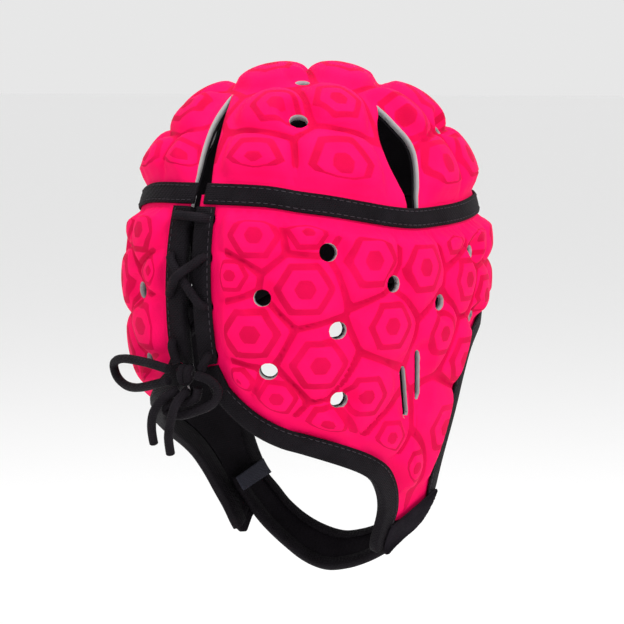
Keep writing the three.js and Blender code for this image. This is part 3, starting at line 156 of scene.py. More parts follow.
# Strap shares: rear edge across, forward and down, then the front edge's
STRAP_SECTIONS = [
    (1.02, -0.05, 0.824, 1.02, 0.55, 0.8), (0.965, 0.0, 0.848, 0.965, 0.62, 0.826),
    (0.88, 0.09, 0.88, 0.86, 0.72, 0.856), (0.73, 0.2, 0.922, 0.72, 0.78, 0.888),
    (0.49, 0.26, 0.96, 0.5, 0.8, 0.915), (0.25, 0.3, 0.988, 0.26, 0.83, 0.933),
    (0.0, 0.34, 1.0, 0.0, 0.86, 0.941), (-0.24, 0.4, 0.993, -0.24, 0.89, 0.932),
    (-0.46, 0.46, 0.977, -0.46, 0.91, 0.915), (-0.66, 0.53, 0.955, -0.63, 0.95, 0.894),
    (-0.79, 0.66, 0.933, -0.74, 1.03, 0.878), (-0.84, 0.84, 0.917, -0.8, 1.08, 0.871),
]
# Bow: azimuth, depth, stand-off
BOW_LOOP_LEFT = [
    (-5.9, 142.2, 15.4), (-11.5, 140.6, 15.8), (-18.5, 139.8, 17.0), (-25.0, 140.4, 19.4),
    (-29.6, 144.0, 21.6), (-30.2, 150.0, 21.2), (-26.6, 154.2, 19.2), (-20.0, 154.6, 17.2),
    (-13.0, 151.8, 16.0), (-6.4, 148.4, 15.4),
]
BOW_LOOP_RIGHT = [
    (3.6, 144.2, 15.2), (7.2, 146.0, 15.2), (9.4, 151.0, 15.2), (7.8, 157.6, 15.4),
    (2.6, 162.8, 15.6), (-4.6, 166.6, 15.8), (-9.2, 165.2, 15.6), (-7.6, 161.0, 15.4),
    (-2.0, 159.4, 15.2), (2.2, 156.2, 14.8), (3.2, 150.8, 14.2),
]
BOW_TAIL_LEFT = [
    (-3.8, 152.8, 14.0), (-7.0, 156.8, 20.4), (-10.4, 164.6, 21.9), (-12.6, 174.0, 21.4),
    (-13.8, 182.0, 20.0),
]
BOW_TAIL_RIGHT = [
    (-0.7, 153.0, 14.0), (-1.6, 156.8, 21.8), (-3.8, 166.0, 22.8), (-6.4, 176.6, 21.6),
    (-7.4, 186.0, 20.2),
]
# Lacing order: side, number of the eyelet from the top, stand-off on the way to the next
LACE_PASSES = [
    ('left', 3, LACE_IN), ('right', 2, LACE_OUT), ('left', 1, LACE_IN), ('right', 0, LACE_OUT),
    ('left', 0, LACE_UNDER), ('right', 1, LACE_OVER), ('left', 2, LACE_UNDER),
    ('right', 3, LACE_OUT),
]


def spline(rows, column, place):
    """Value of one column at a row number with a fraction, on a smooth curve through the rows."""
    i = min(max(int(math.floor(place)), 0), len(rows) - 2)
    t = place - i
    a, b, c, d = (rows[min(max(k, 0), len(rows) - 1)][column] for k in (i - 1, i, i + 1, i + 2))
    cubic = (2 * a - 5 * b + 4 * c - d) * t * t + (3 * b - a - 3 * c + d) * t ** 3
    return 0.5 * (2 * b + (c - a) * t + cubic)


def row_at(rows, value):
    i = 0
    while i < len(rows) - 2 and rows[i + 1][0] <= value:
        i += 1
    return i + min(max((value - rows[i][0]) / (rows[i + 1][0] - rows[i][0]), 0), 1)


def sampled(rows, column, count=600):
    """The smooth curve through a column as a dense table for np.interp."""
    values = np.linspace(rows[0][0], rows[-1][0], count)
    return values, np.array([spline(rows, column, row_at(rows, v)) for v in values])


LOWER = [sampled(LOWER_SECTIONS, column) for column in (1, 2, 3)]
BAND = sampled(BAND_LINE, 1)


def smooth(value):
    t = np.clip(value, 0, 1)
    return t * t * (3 - 2 * t)


def form_shares(depth):
    rise = np.clip((DOME_DEPTH - depth) / DOME_DEPTH, 0, 1)
    dome = np.maximum(np.maximum(1 - rise ** DOME_POWER, 0) ** (1 / DOME_POWER), 1e-6)
    below = (depth - DOME_DEPTH) / (CAP_DEPTH - DOME_DEPTH)
    under = depth >= DOME_DEPTH
    return [np.where(under, np.interp(below, *table), dome) for table in LOWER]


def form_point(azimuth, depth):
    azimuth, depth = np.broadcast_arrays(np.asarray(azimuth, float), np.asarray(depth, float))
    width, front, back = form_shares(depth)
    sideways = -np.sin(np.radians(azimuth))
    rearward = np.cos(np.radians(azimuth))
    reach = np.where(rearward > 0, BACK_REACH * back, FRONT_REACH * front)
    plan = (np.abs(sideways) / (HALF_WIDTH * width)) ** PLAN_POWER
    plan = plan + (np.abs(rearward) / reach) ** PLAN_POWER
    radius = plan ** (-1 / PLAN_POWER)
    return np.stack([sideways * radius, rearward * radius, -depth], -1)


def plan_at(x, y, depth):
    width, front, back = form_shares(depth)
    reach = np.where(y > 0, BACK_REACH * back, FRONT_REACH * front)
    return (np.abs(x) / (HALF_WIDTH * width)) ** PLAN_POWER + (np.abs(y) / reach) ** PLAN_POWER


def form_normal(p):
    x, y, depth = p[..., 0], p[..., 1], -p[..., 2]
    reach = np.where(y > 0, BACK_REACH, FRONT_REACH)
    across, along = np.abs(x) / HALF_WIDTH, np.abs(y) / reach
    plan = np.maximum(across ** PLAN_POWER + along ** PLAN_POWER, 1e-12)
    slope = plan ** (DOME_POWER / PLAN_POWER - 1)
    rise = np.clip((DOME_DEPTH - depth) / DOME_DEPTH, 0, 1)
    dome = np.stack([
        np.sign(x) * slope * across ** (PLAN_POWER - 1) / HALF_WIDTH,
        np.sign(y) * slope * along ** (PLAN_POWER - 1) / reach,
        rise ** (DOME_POWER - 1) / DOME_DEPTH,
    ], -1)
    step = 0.5
    side = np.stack([
        plan_at(x + step, y, depth) - plan_at(x - step, y, depth),
        plan_at(x, y + step, depth) - plan_at(x, y - step, depth),
        plan_at(x, y, depth - step) - plan_at(x, y, depth + step),
    ], -1)
    found = np.where((depth < DOME_DEPTH)[..., None], dome, side)
    return found / np.maximum(np.linalg.norm(found, axis=-1, keepdims=True), 1e-12)


def layer(azimuth, depth, stand_off):
    p = form_point(azimuth, depth)
    return p + form_normal(p) * np.asarray(stand_off, float)[..., None]


def place_of(p):
    return math.degrees(math.atan2(-p[0], p[1])), -p[2]


def mix(a, b, share):
    return a[0] + (b[0] - a[0]) * share, a[1] + (b[1] - a[1]) * share


def band_depth(azimuth):
    turn = np.abs((np.asarray(azimuth) + 540) % 360 - 180)
    return DOME_DEPTH * np.interp(turn, *BAND)


def depth_at(share):
    return DOME_DEPTH * (1 - (1 - share ** DOME_POWER) ** (1 / DOME_POWER))


def edge_place(side, row):
    sign, lean, lift, _ = side
    azimuth = spline(LOWER_EDGE, 0, row) + lean * spline(LOWER_EDGE, 2, row)
    depth = CAP_DEPTH * spline(LOWER_EDGE, 1, row) - lift * spline(LOWER_EDGE, 3, row)
    return sign * azimuth, depth


def square_in(p, along, distance, sign):
    inward = np.cross(form_normal(p), along)
    return place_of(p + inward / np.linalg.norm(inward) * distance * sign)


def inset_place(side, row, distance):
    step = 0.2
    a = form_point(*edge_place(side, max(0, row - step)))
    b = form_point(*edge_place(side, min(len(LOWER_EDGE) - 1, row + step)))
    share = np.interp(row, [r[0] for r in INSETS], [r[1] for r in INSETS])
    return square_in(form_point(*edge_place(side, row)), b - a, distance * share, side[0])


def azimuth_step(azimuth, depth, distance):
    p = form_point(azimuth, depth)
    return distance / math.radians(math.hypot(p[0], p[1]))


TOP_DEPTH = float(band_depth(0)) + JOINT_GAP / 2


def rear_azimuth(side, depth):
    corner = edge_place(side, 0)
    fall = min(1, (depth - TOP_DEPTH) / (corner[1] - TOP_DEPTH))
    top = side[0] * side[3]
    return top + (corner[0] - top) * fall


def corner_inset(side, margin):
    corner = edge_place(side, 0)
    above = corner[1] - CORNER_STEP
    along = form_point(*edge_place(side, 1)) - form_point(rear_azimuth(side, above), above)
    return square_in(form_point(*corner), along, TAPE_WIDTH + TAPE_MARGIN + margin, side[0])


def rear_depth(row, low):
    if row <= 1:
        return TOP_DEPTH + BAND_FLANGE * row
    flange = TOP_DEPTH + BAND_FLANGE
    return flange + (low - flange) * (row - 1) / (PANEL_ROWS - 2)


def rear_place(side, row):
    corner = edge_place(side, 0)
    low = corner[1] - CORNER_STEP
    if row <= PANEL_ROWS - 1:
        depth = rear_depth(row, low)
    else:
        depth = low + (corner[1] - low) * (row - PANEL_ROWS + 1)
    return rear_azimuth(side, depth), depth


def rear_step(side, depth, distance):
    azimuth = rear_azimuth(side, depth)
    return azimuth + side[0] * azimuth_step(azimuth, depth, distance), depth


def rear_inset(side, row, margin):
    distance = TAPE_WIDTH + TAPE_MARGIN + margin
    low = corner_inset(side, margin)
    corner = edge_place(side, 0)
    depth = rear_depth(row, low[1])
    if depth <= corner[1]:
        return rear_step(side, depth, distance)
    share = (depth - corner[1]) / (low[1] - corner[1])
    return mix(rear_step(side, corner[1], distance), low, share)


def column_ends(column):
    share = (column - 1) / (PANEL_COLUMNS - 1)
    shares = [row[0] for row in PANEL_LINES]
    return tuple(float(np.interp(share, shares, [r[k] for r in PANEL_LINES])) for k in (1, 2))


def panel_place(side, column, row, margin=0.0):
    if row > PANEL_ROWS - 1 and column < 2:
        edge = edge_place(side, column_ends(2)[1] * max(0, column - 1))
        inset = panel_place(side, column, PANEL_ROWS - 1, margin)
        return mix(inset, edge, row - PANEL_ROWS + 1)
    if column < 1:
        return mix(rear_place(side, row), rear_inset(side, row, margin), column)
    if column < 2:
        return mix(rear_inset(side, row, margin), panel_place(side, 2, row, margin), column - 1)
    top, foot = column_ends(column)
    azimuth = side[0] * top
    joint = (azimuth, float(band_depth(azimuth)) + JOINT_GAP / 2)
    flange = (azimuth, joint[1] + BAND_FLANGE)
    if row <= 1:
        return mix(joint, flange, row)
    inset = inset_place(side, foot, TAPE_WIDTH + TAPE_MARGIN + margin)
    if row <= PANEL_ROWS - 1:
        return mix(flange, inset, (row - 1) / (PANEL_ROWS - 2))
    return mix(inset, edge_place(side, foot), row - PANEL_ROWS + 1)


def panel_lines(columns, rows, margin=0.0):
    """Azimuths and depths of the panel's nodes: right side from the lacing, then the left back."""
    order = [(SIDES["right"], c) for c in columns] + [(SIDES["left"], c) for c in columns[-2::-1]]
    keys = sorted({0, 1, PANEL_ROWS - 1, PANEL_ROWS} | set(range(1, PANEL_ROWS)))
    places = np.array([[panel_place(side, c, k, margin) for side, c in order] for k in keys])
    rows = np.asarray(rows, float)
    low = np.minimum(np.floor(rows).astype(int), PANEL_ROWS - 1)
    share = (rows - low)[:, None, None]
    grid = places[low] * (1 - share) + places[low + 1] * share
    return grid[..., 0], grid[..., 1]


def bulge_list(rows, depth_scale, signs):
    return [
        (form_point(sign * r[0], r[1] * depth_scale), r[2] * PAD_SPAN / 2, r[3], r[4])
        for sign in signs for r in rows
    ]


def vent_list(rows, depth_scale, signs):
    return [
        (form_point(sign * r[0], r[1] * depth_scale), r[2] * VENT_RADIUS)
        for sign in signs for r in rows
    ]


SIDE_BULGES = bulge_list(SIDE_PADS, CAP_DEPTH, (1, -1)) + bulge_list(FOREHEAD_PADS, CAP_DEPTH, (1,))
CROWN_BULGES = bulge_list(CROWN_PADS, DOME_DEPTH, (1,))
SIDE_HOLES = vent_list(SIDE_VENTS, CAP_DEPTH, (1, -1))
CROWN_HOLES = vent_list(CROWN_VENTS, DOME_DEPTH, (1,))


def eyelet_places():
    found = []
    for share, name in EYELETS:
        side = SIDES[name]
        depth = CAP_DEPTH * share
        edge = rear_azimuth(side, depth)
        found.append((edge + side[0] * azimuth_step(edge, depth, EYELET_INSET), depth, name))
    return found


EYELET_PLACES = eyelet_places()
EYELET_HOLES = [
    (form_point(azimuth, depth), LACE_DIAMETER / 2 + EYELET_CLEARANCE)
    for azimuth, depth, _ in EYELET_PLACES
]


def bound_edges():
    points = []
    for side in SIDES.values():
        points += [edge_place(side, r) for r in np.arange(0, len(LOWER_EDGE) - 0.99, 0.2)]
        points += [rear_place(side, r) for r in np.arange(1, PANEL_ROWS + 0.01, 0.3)]
    points = np.array(points)
    return form_point(points[:, 0], points[:, 1])


def gap_edges():
    points = []
    for rows, sign in ((REAR_GAP, 1), (SIDE_GAP, 1), (SIDE_GAP, -1)):
        for place in np.arange(0, len(rows) - 0.99, 0.1):
            depth = DOME_DEPTH * spline(rows, 0, place)
            points.append((sign * spline(rows, 1, place), depth))
            points.append((sign * spline(rows, 2, place), depth))
    points = np.array(points)
    return form_point(points[:, 0], points[:, 1])


def nearest(points, p):
    flat = p.reshape(-1, 3)
    found = np.empty(len(flat))
    chunk = 4000
    for start in range(0, len(flat), chunk):
        part = flat[start:start + chunk, None, :] - points[None]
        found[start:start + chunk] = np.sqrt((part ** 2).sum(-1).min(1))
    return found.reshape(p.shape[:-1])


HEX_SIDES = ((0, 1), (math.sqrt(3) / 2, 0.5), (math.sqrt(3) / 2, -0.5))


def bulge_field(p, bulges, holes):
    """Height share of the bulges, distance from the creases, and hexagon distance from the middle."""
    distances = np.stack([
        np.sqrt((p[..., 0] - c[0]) ** 2 + (p[..., 1] - c[1]) ** 2 + ((p[..., 2] - c[2]) / up) ** 2)
        for c, _, _, up in bulges
    ])
    radii = np.array([b[1] for b in bulges])
    heights = np.array([b[2] for b in bulges])
    edges = distances - radii[(...,) + (None,) * (p.ndim - 1)]
    first = edges.argmin(0)
    ordered = np.partition(edges, 1, axis=0)
    crease = (ordered[1] - ordered[0]) / 2
    near = np.take_along_axis(distances, first[None], 0)[0]
    reach = near / radii[first]
    shoulder = np.sqrt(1 - (1 - np.clip(crease / PAD_SHOULDER, 0, 1)) ** 2)
    height = shoulder * (1.06 - 0.36 * np.minimum(2, reach ** 2))
    height = height * (1 - smooth(ordered[0] / PAD_SHOULDER)) * heights[first]
    for centre, radius in holes:
        gap = np.linalg.norm(p - centre, axis=-1) - radius
        height = height * smooth(gap / (PAD_SHOULDER * 0.8))
    centres = np.array([b[0] for b in bulges])[first]
    normal = form_normal(centres)
    right = np.cross(np.array([0.0, 0.0, 1.0]), normal)
    right = right / np.maximum(np.linalg.norm(right, axis=-1, keepdims=True), 1e-6)
    up = np.cross(normal, right)
    offset = p - centres
    u, v = (offset * right).sum(-1), (offset * up).sum(-1)
    hexagon = np.max([np.abs(u * a + v * b) for a, b in HEX_SIDES], axis=0)
    spread = np.array([b[1] for b in bulges])[first] / (PAD_SPAN / 2)
    return height, crease, hexagon / spread


# Mesh making

OUTSIDE_FACES, WALL_FACES, INSIDE_FACES = 0, 1, 2


def add_mesh(name, points, faces, attributes=(), smooth_shading=True):
    mesh = bpy.data.meshes.new(name)
    mesh.from_pydata([tuple(p) for p in np.asarray(points) * MM], [], [tuple(f) for f in faces])
    for label, values in attributes:
        layer_ = mesh.attributes.new(label, "FLOAT", "POINT")
        layer_.data.foreach_set("value", np.asarray(values, dtype=np.float32))
    mesh.validate()
    mesh.update()
    if smooth_shading:
        mesh.polygons.foreach_set("use_smooth", [True] * len(mesh.polygons))
    obj = bpy.data.objects.new(name, mesh)
    bpy.context.scene.collection.objects.link(obj)
    return obj


def masked_shell(name, outer, inner, keep, wrapped, attributes=()):
    """Closed shell between two grids of points, built only on the kept cells."""
    rows, columns = outer.shape[:2]
    used = columns - 1 if wrapped else columns
    index = np.arange(rows * columns).reshape(rows, columns)
    if wrapped:
        index = np.arange(rows * used).reshape(rows, used)
        index = np.concatenate([index, index[:, :1]], 1)
    count = rows * used
    a, b = index[:-1, :-1], index[1:, :-1]
    c, d = index[1:, 1:], index[:-1, 1:]
    top = np.stack([a, b, c, d], -1)[keep]
    low = np.stack([a, d, c, b], -1)[keep] + count
    walls = []
    padded = np.zeros((rows + 1, columns + 1), bool)
    padded[1:-1, 1:-1] = keep
    if wrapped:
        padded[:, 0], padded[:, -1] = padded[:, -2], padded[:, 1]
    here = padded[1:-1, 1:-1]
    up = here & ~padded[:-2, 1:-1]
    down = here & ~padded[2:, 1:-1]
    left = here & ~padded[1:-1, :-2]
    right = here & ~padded[1:-1, 2:]
    for mask, s, e in ((up, a, d), (down, c, b), (left, b, a), (right, d, c)):
        walls.append(np.stack([s[mask], e[mask], e[mask] + count, s[mask] + count], -1))
    faces = np.concatenate([top, low] + walls)
    outer_points = outer[:, :used].reshape(-1, 3)
    inner_points = inner[:, :used].reshape(-1, 3)
    points = np.concatenate([outer_points, inner_points])
    values = [
        (label, np.concatenate([v[:, :used].ravel(), v[:, :used].ravel()]))
        for label, v in attributes
    ]
    used_points = np.unique(faces)
    renumber = np.full(len(points), -1)
    renumber[used_points] = np.arange(len(used_points))
    values = [(label, v[used_points]) for label, v in values]
    obj = add_mesh(name, points[used_points], renumber[faces], values)
    numbers = [np.full(len(part), k) for k, part in ((OUTSIDE_FACES, top), (INSIDE_FACES, low))]
    numbers += [np.full(len(part), WALL_FACES) for part in walls]
    obj.data.polygons.foreach_set("material_index", np.concatenate(numbers).astype(np.int32))
    return obj


def tidy(obj, distance=0.00002):
    """Joins doubled points, such as those at the crown's vertex."""
    mesh = bmesh.new()
    mesh.from_mesh(obj.data)
    bmesh.ops.remove_doubles(mesh, verts=mesh.verts, dist=distance)
    bmesh.ops.dissolve_degenerate(mesh, edges=mesh.edges, dist=distance / 2)
    mesh.to_mesh(obj.data)
    mesh.free()
    obj.data.polygons.foreach_set("use_smooth", [True] * len(obj.data.polygons))
    return obj


# Materials


class Nodes:
    """A fabric material's node tree, with short calls to add and link nodes."""

    def __init__(self, name, roughness, sheen=0.0):
        self.material = bpy.data.materials.new(name)
        self.material.use_nodes = True
        self.tree = self.material.node_tree
        self.shader = self.tree.nodes["Principled BSDF"]
        self.shader.inputs["Roughness"].default_value = roughness
        self.shader.inputs["Sheen Weight"].default_value = sheen
        self.shader.inputs["Specular IOR Level"].default_value = 0.06

    def add(self, kind, **values):
        node = self.tree.nodes.new(kind)
        for key, value in values.items():
            setattr(node, key, value)
        return node

    def link(self, source, target):
        self.tree.links.new(source, target)

    def maths(self, operation, a, b=None, clamp=False):
        node = self.add("ShaderNodeMath", operation=operation, use_clamp=clamp)
        for socket, value in zip(node.inputs, (a, b)):
            if value is None:
                continue
            if isinstance(value, (int, float)):
                socket.default_value = value
            else:
                self.link(value, socket)
        return node.outputs[0]

    def coordinates(self):
        return self.add("ShaderNodeTexCoord").outputs["Object"]

    def noise(self, scale, detail=2.0):
        node = self.add("ShaderNodeTexNoise")
        node.inputs["Scale"].default_value = scale
        node.inputs["Detail"].default_value = detail
        self.link(self.coordinates(), node.inputs["Vector"])
        return node.outputs["Fac"]

    def wave(self, scale, direction, distortion=0.0):
        node = self.add("ShaderNodeTexWave", bands_direction=direction)
        node.inputs["Scale"].default_value = scale
        node.inputs["Distortion"].default_value = distortion
        self.link(self.coordinates(), node.inputs["Vector"])
        return node.outputs["Fac"]

    def mix(self, factor, a, b):
        node = self.add("ShaderNodeMix", data_type="RGBA")
        self.link(factor, node.inputs["Factor"])
        for socket, value in ((node.inputs["A"], a), (node.inputs["B"], b)):
            if isinstance(value, tuple):
                socket.default_value = (*value, 1)
            else:
                self.link(value, socket)
        return node.outputs["Result"]

    def attribute(self, name):
        return self.add("ShaderNodeAttribute", attribute_name=name).outputs["Fac"]

    def bump(self, height, strength, distance):
        node = self.add("ShaderNodeBump")
        node.inputs["Strength"].default_value = strength
        node.inputs["Distance"].default_value = distance
        self.link(height, node.inputs["Height"])
        self.link(node.outputs[0], self.shader.inputs["Normal"])


def below(nodes, value, limit, blur):
    """1 where value is under the limit, with a soft border."""
    scaled = nodes.maths("DIVIDE", nodes.maths("SUBTRACT", limit, value), blur)
    return nodes.maths("ADD", scaled, 0.5, clamp=True)


# Height under which the flaps' tips are black cloth, and how far it turns in, in metres
TIP_CLOTH_BELOW, TIP_CLOTH_TURN = -0.2345, 0.006


def pink_print_and_crease_shade():
    """Pink cloth with darker lines round each bulge, which are print and also painted shade in the
    creases, a hexagon ring and a filled hexagon.
    """
    nodes = Nodes("pink_print_and_crease_shade", 0.7, 0.0)
    crease, hexagon = nodes.attribute("crease"), nodes.attribute("hexagon")
    blotch = nodes.noise(60)
    base = nodes.mix(blotch, (0.86, 0.0, 0.085), (0.95, 0.004, 0.125))
    # Dark lines along the creases between the bulges: partly printed lines, partly painted shade
    # where the creases fall into shadow
    lines = below(nodes, crease, 1.6, 0.5)
    ring = below(nodes, nodes.maths("ABSOLUTE", nodes.maths("SUBTRACT", hexagon, 10.8)), 1.6, 0.5)
    middle = below(nodes, hexagon, 4.4, 0.5)
    # Printed ring and middle hexagon, together with the painted crease shade
    print_and_shade = nodes.maths("MAXIMUM", nodes.maths("MAXIMUM", lines, ring), middle)
    patchy_print_and_shade = nodes.maths("MULTIPLY", print_and_shade, nodes.maths("ADD", nodes.noise(45), 0.35, clamp=True))
    colour = nodes.mix(patchy_print_and_shade, base, (0.56, 0.0, 0.045))
    split = nodes.add("ShaderNodeSeparateXYZ")
    nodes.link(nodes.coordinates(), split.inputs[0])
    tip = below(nodes, split.outputs["Z"], TIP_CLOTH_BELOW, 0.0005)
    colour = nodes.mix(tip, colour, (0.006, 0.005, 0.006))
    nodes.link(colour, nodes.shader.inputs["Base Color"])
    knit = nodes.maths("MULTIPLY", nodes.wave(520, "Z", 0.6), nodes.wave(520, "DIAGONAL", 0.6))
    nodes.bump(nodes.maths("ADD", knit, nodes.noise(1400, 3.0)), 0.35, 0.0005)
    return nodes.material


def cloth(name, dark, light, roughness, weave, strength=0.4):
    """Woven or knitted cloth in two close tones."""
    nodes = Nodes(name, roughness, 0.0)
    colour = nodes.mix(nodes.noise(90, 3.0), dark, light)
    nodes.link(colour, nodes.shader.inputs["Base Color"])
    across = nodes.wave(weave, "Z", 1.0)
    along = nodes.wave(weave, "DIAGONAL", 1.0)
    height = nodes.maths("ADD", nodes.maths("MULTIPLY", across, along), nodes.noise(1500))
    nodes.bump(height, strength, 0.0004)
    return nodes.material


# Pink printed cloth, with painted shade in the creases between the bulges
PINK = pink_print_and_crease_shade()
LINING = cloth("black_knit", (0.004, 0.003, 0.004), (0.011, 0.009, 0.012), 0.85, 260)
TAPE = cloth("black_tape", (0.003, 0.002, 0.003), (0.012, 0.010, 0.013), 0.6, 330, 1.0)
PILE = cloth("loop_pile", (0.005, 0.004, 0.006), (0.022, 0.018, 0.024), 0.95, 700, 0.9)
WEBBING = cloth("grey_webbing", (0.018, 0.018, 0.026), (0.050, 0.050, 0.068), 0.6, 380, 0.8)
BRAID = cloth("black_braid", (0.003, 0.002, 0.003), (0.016, 0.013, 0.017), 0.65, 300, 0.9)
THREAD = cloth("dark_thread", (0.030, 0.026, 0.032), (0.070, 0.062, 0.072), 0.6, 500)
FOAM = cloth("pale_cut_foam", (0.30, 0.29, 0.30), (0.46, 0.45, 0.46), 0.9, 600)
STAGE = bpy.data.materials.new("stage")


def dress(obj, material, node, walls=None, inside=None):
    numbers = None
    if obj.type == "MESH":
        numbers = np.zeros(len(obj.data.polygons), np.int32)
        obj.data.polygons.foreach_get("material_index", numbers)
    obj.data.materials.clear()
    obj.data.materials.append(material)
    obj.data.materials.append(walls or material)
    obj.data.materials.append(inside or material)
    if numbers is not None:
        obj.data.polygons.foreach_set("material_index", numbers)
    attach(obj, "root")
    if node:
        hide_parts(node)
    return obj


# Camera

CAMERA_AZIMUTH, CAMERA_ELEVATION = math.radians(35), math.radians(6)
CAMERA_DISTANCE, LENS, TARGET = 1.2, 125.9, Vector((0, 0, -0.125))
toward_camera = Vector((
    -math.sin(CAMERA_AZIMUTH) * math.cos(CAMERA_ELEVATION),
    math.cos(CAMERA_AZIMUTH) * math.cos(CAMERA_ELEVATION),
    math.sin(CAMERA_ELEVATION),
))
camera_data = bpy.data.cameras.new("camera")
camera_data.lens = LENS
camera_data.sensor_width = 36
camera = bpy.data.objects.new("camera", camera_data)
camera.location = TARGET + toward_camera * CAMERA_DISTANCE
camera.rotation_euler = toward_camera.to_track_quat("Z", "Y").to_euler()
bpy.context.scene.collection.objects.link(camera)
bpy.context.scene.camera = camera


# Cords


def catmull(points, per_span=10):
    """Points of the centripetal curve through a route, as the CAD tubes follow it."""
    points = [np.array(p, float) for p in points]
    points = [2 * points[0] - points[1]] + points + [2 * points[-1] - points[-2]]
    found = []
    for i in range(1, len(points) - 2):
        p = points[i - 1:i + 3]
        times = [0.0]
        for a, b in zip(p, p[1:]):
            times.append(times[-1] + max(np.linalg.norm(b - a), 1e-6) ** 0.5)
        for t in np.linspace(times[1], times[2], per_span, endpoint=False):
            rows = p
            for level in range(1, 4):
                rows = [
                    ((times[k + level] - t) * rows[k] + (t - times[k]) * rows[k + 1])
                    / (times[k + level] - times[k])
                    for k in range(len(rows) - 1)
                ]
            found.append(rows[0])
    found.append(points[-2])
    return np.array(found)


def cord_curve(name, path):
    data = bpy.data.curves.new(name, "CURVE")
    data.dimensions = "3D"
    data.bevel_depth = LACE_DIAMETER / 2 * MM
    data.bevel_resolution = 3
    data.use_fill_caps = True
    line = data.splines.new("POLY")
    line.points.add(len(path) - 1)
    for point, place in zip(line.points, path):
        point.co = (*(place * MM), 1)
    obj = bpy.data.objects.new(name, data)
    bpy.context.scene.collection.objects.link(obj)
    return obj


def free_cord(name, node, route):
    path = catmull([layer(*map(np.float64, place)) for place in route])
    obj = dress(cord_curve(name, path), BRAID, node)
    return obj


free_cord("bow_loop_left", "lace_loop_left", BOW_LOOP_LEFT)
free_cord("bow_loop_right", "lace_loop_right", BOW_LOOP_RIGHT)
free_cord("bow_tail_left", "lace_tail_left", BOW_TAIL_LEFT)
free_cord("bow_tail_right", "lace_tail_right", BOW_TAIL_RIGHT)

LACE_START, LACE_END = (-5.2, 141.0, 9.6), (3.2, 143.0, 9.6)
LACE_TURN, LACE_LEAN, LACE_RIM, LACE_MIDDLE = 3.8, 0.5, 4.3, 2.7


def toward(start, end, distance):
    p = form_point(start[0], start[1])
    step = form_point(end[0], end[1]) - p
    return place_of(p + step / np.linalg.norm(step) * distance)


def lace_route():
    named = {side: [place for place in EYELET_PLACES if place[2] == side] for side in SIDES}
    eyelets = [named[side][index] for side, index, _ in LACE_PASSES]
    points = [LACE_START]
    for i, eyelet in enumerate(eyelets):
        before = eyelets[i - 1] if i else LACE_START
        after = eyelets[i + 1] if i < len(eyelets) - 1 else LACE_END
        inward = 1 if i % 2 == 0 else -1
        first, last = (LACE_OUT, LACE_IN) if inward > 0 else (LACE_IN, LACE_OUT)
        points.append((*toward(eyelet, before, LACE_TURN), first))
        points.append((*toward(eyelet, before, LACE_LEAN), LACE_MIDDLE + inward * LACE_RIM))
        points.append((eyelet[0], eyelet[1], LACE_MIDDLE))
        points.append((*toward(eyelet, after, LACE_LEAN), LACE_MIDDLE - inward * LACE_RIM))
        points.append((*toward(eyelet, after, LACE_TURN), last))
        if i < len(eyelets) - 1:
            points.append((*mix(eyelet, after, 0.5), LACE_PASSES[i][2]))
    return points + [LACE_END]


lace_path = catmull([layer(*map(np.float64, place)) for place in lace_route()], 6)
dress(cord_curve("laced_cord", lace_path), BRAID, "lace")

KNOT = layer(np.float64(-1.2), np.float64(145.5), np.float64(12.6))


def knot():
    """Bow knot: strands wrapped round the crossing."""
    path = []
    for turn in np.linspace(0, 1, 60):
        angle = 2 * math.pi * (1.75 * turn) - 0.6
        path.append(KNOT + np.array([
            -3.6 + 7.2 * turn,
            2.5 * math.cos(angle),
            3.3 * math.sin(angle) - 0.6 * math.cos(angle),
        ]))
    return cord_curve("bow_knot", np.array(path))


dress(knot(), BRAID, "lace_knot")

# Foam side panel and crown

FINE = 7


def gathers(turn, distance):
    """Small upright puckers of the cloth where the band pulls it in."""
    swell = np.sin(turn * 1.9 + 2.2 * np.sin(turn * 0.31)) + 0.6 * np.sin(turn * 3.7 + 1.3)
    return 0.38 * swell * smooth(distance / 1.5) * smooth((9 - distance) / 7)


def open_holes(points, holes):
    """Moves the nodes inside each hole onto its rim and drops the cells that lie in it."""
    keep = np.ones((points.shape[0] - 1, points.shape[1] - 1), bool)
    for start, end, radius in holes:
        line = end - start
        share = np.clip(((points - start) @ line) / max(line @ line, 1e-9), 0, 1)
        middle = start + share[..., None] * line
        offset = points - middle
        distance = np.linalg.norm(offset, axis=-1)
        inside = distance < radius
        keep &= ~(inside[:-1, :-1] & inside[1:, :-1] & inside[1:, 1:] & inside[:-1, 1:])
        rim = middle + offset * (radius / np.maximum(distance, 1e-6))[..., None]
        points = np.where(inside[..., None], rim, points)
    return points, keep


def round_holes(places):
    return [(centre, centre, radius) for centre, radius in places]


def ear_slits():
    return [
        (form_point(sign * row[0], CAP_DEPTH * row[1]), form_point(sign * row[2], CAP_DEPTH * row[3]),
         SLIT_WIDTH / 2)
        for sign in (1, -1) for row in EAR_SLITS
    ]


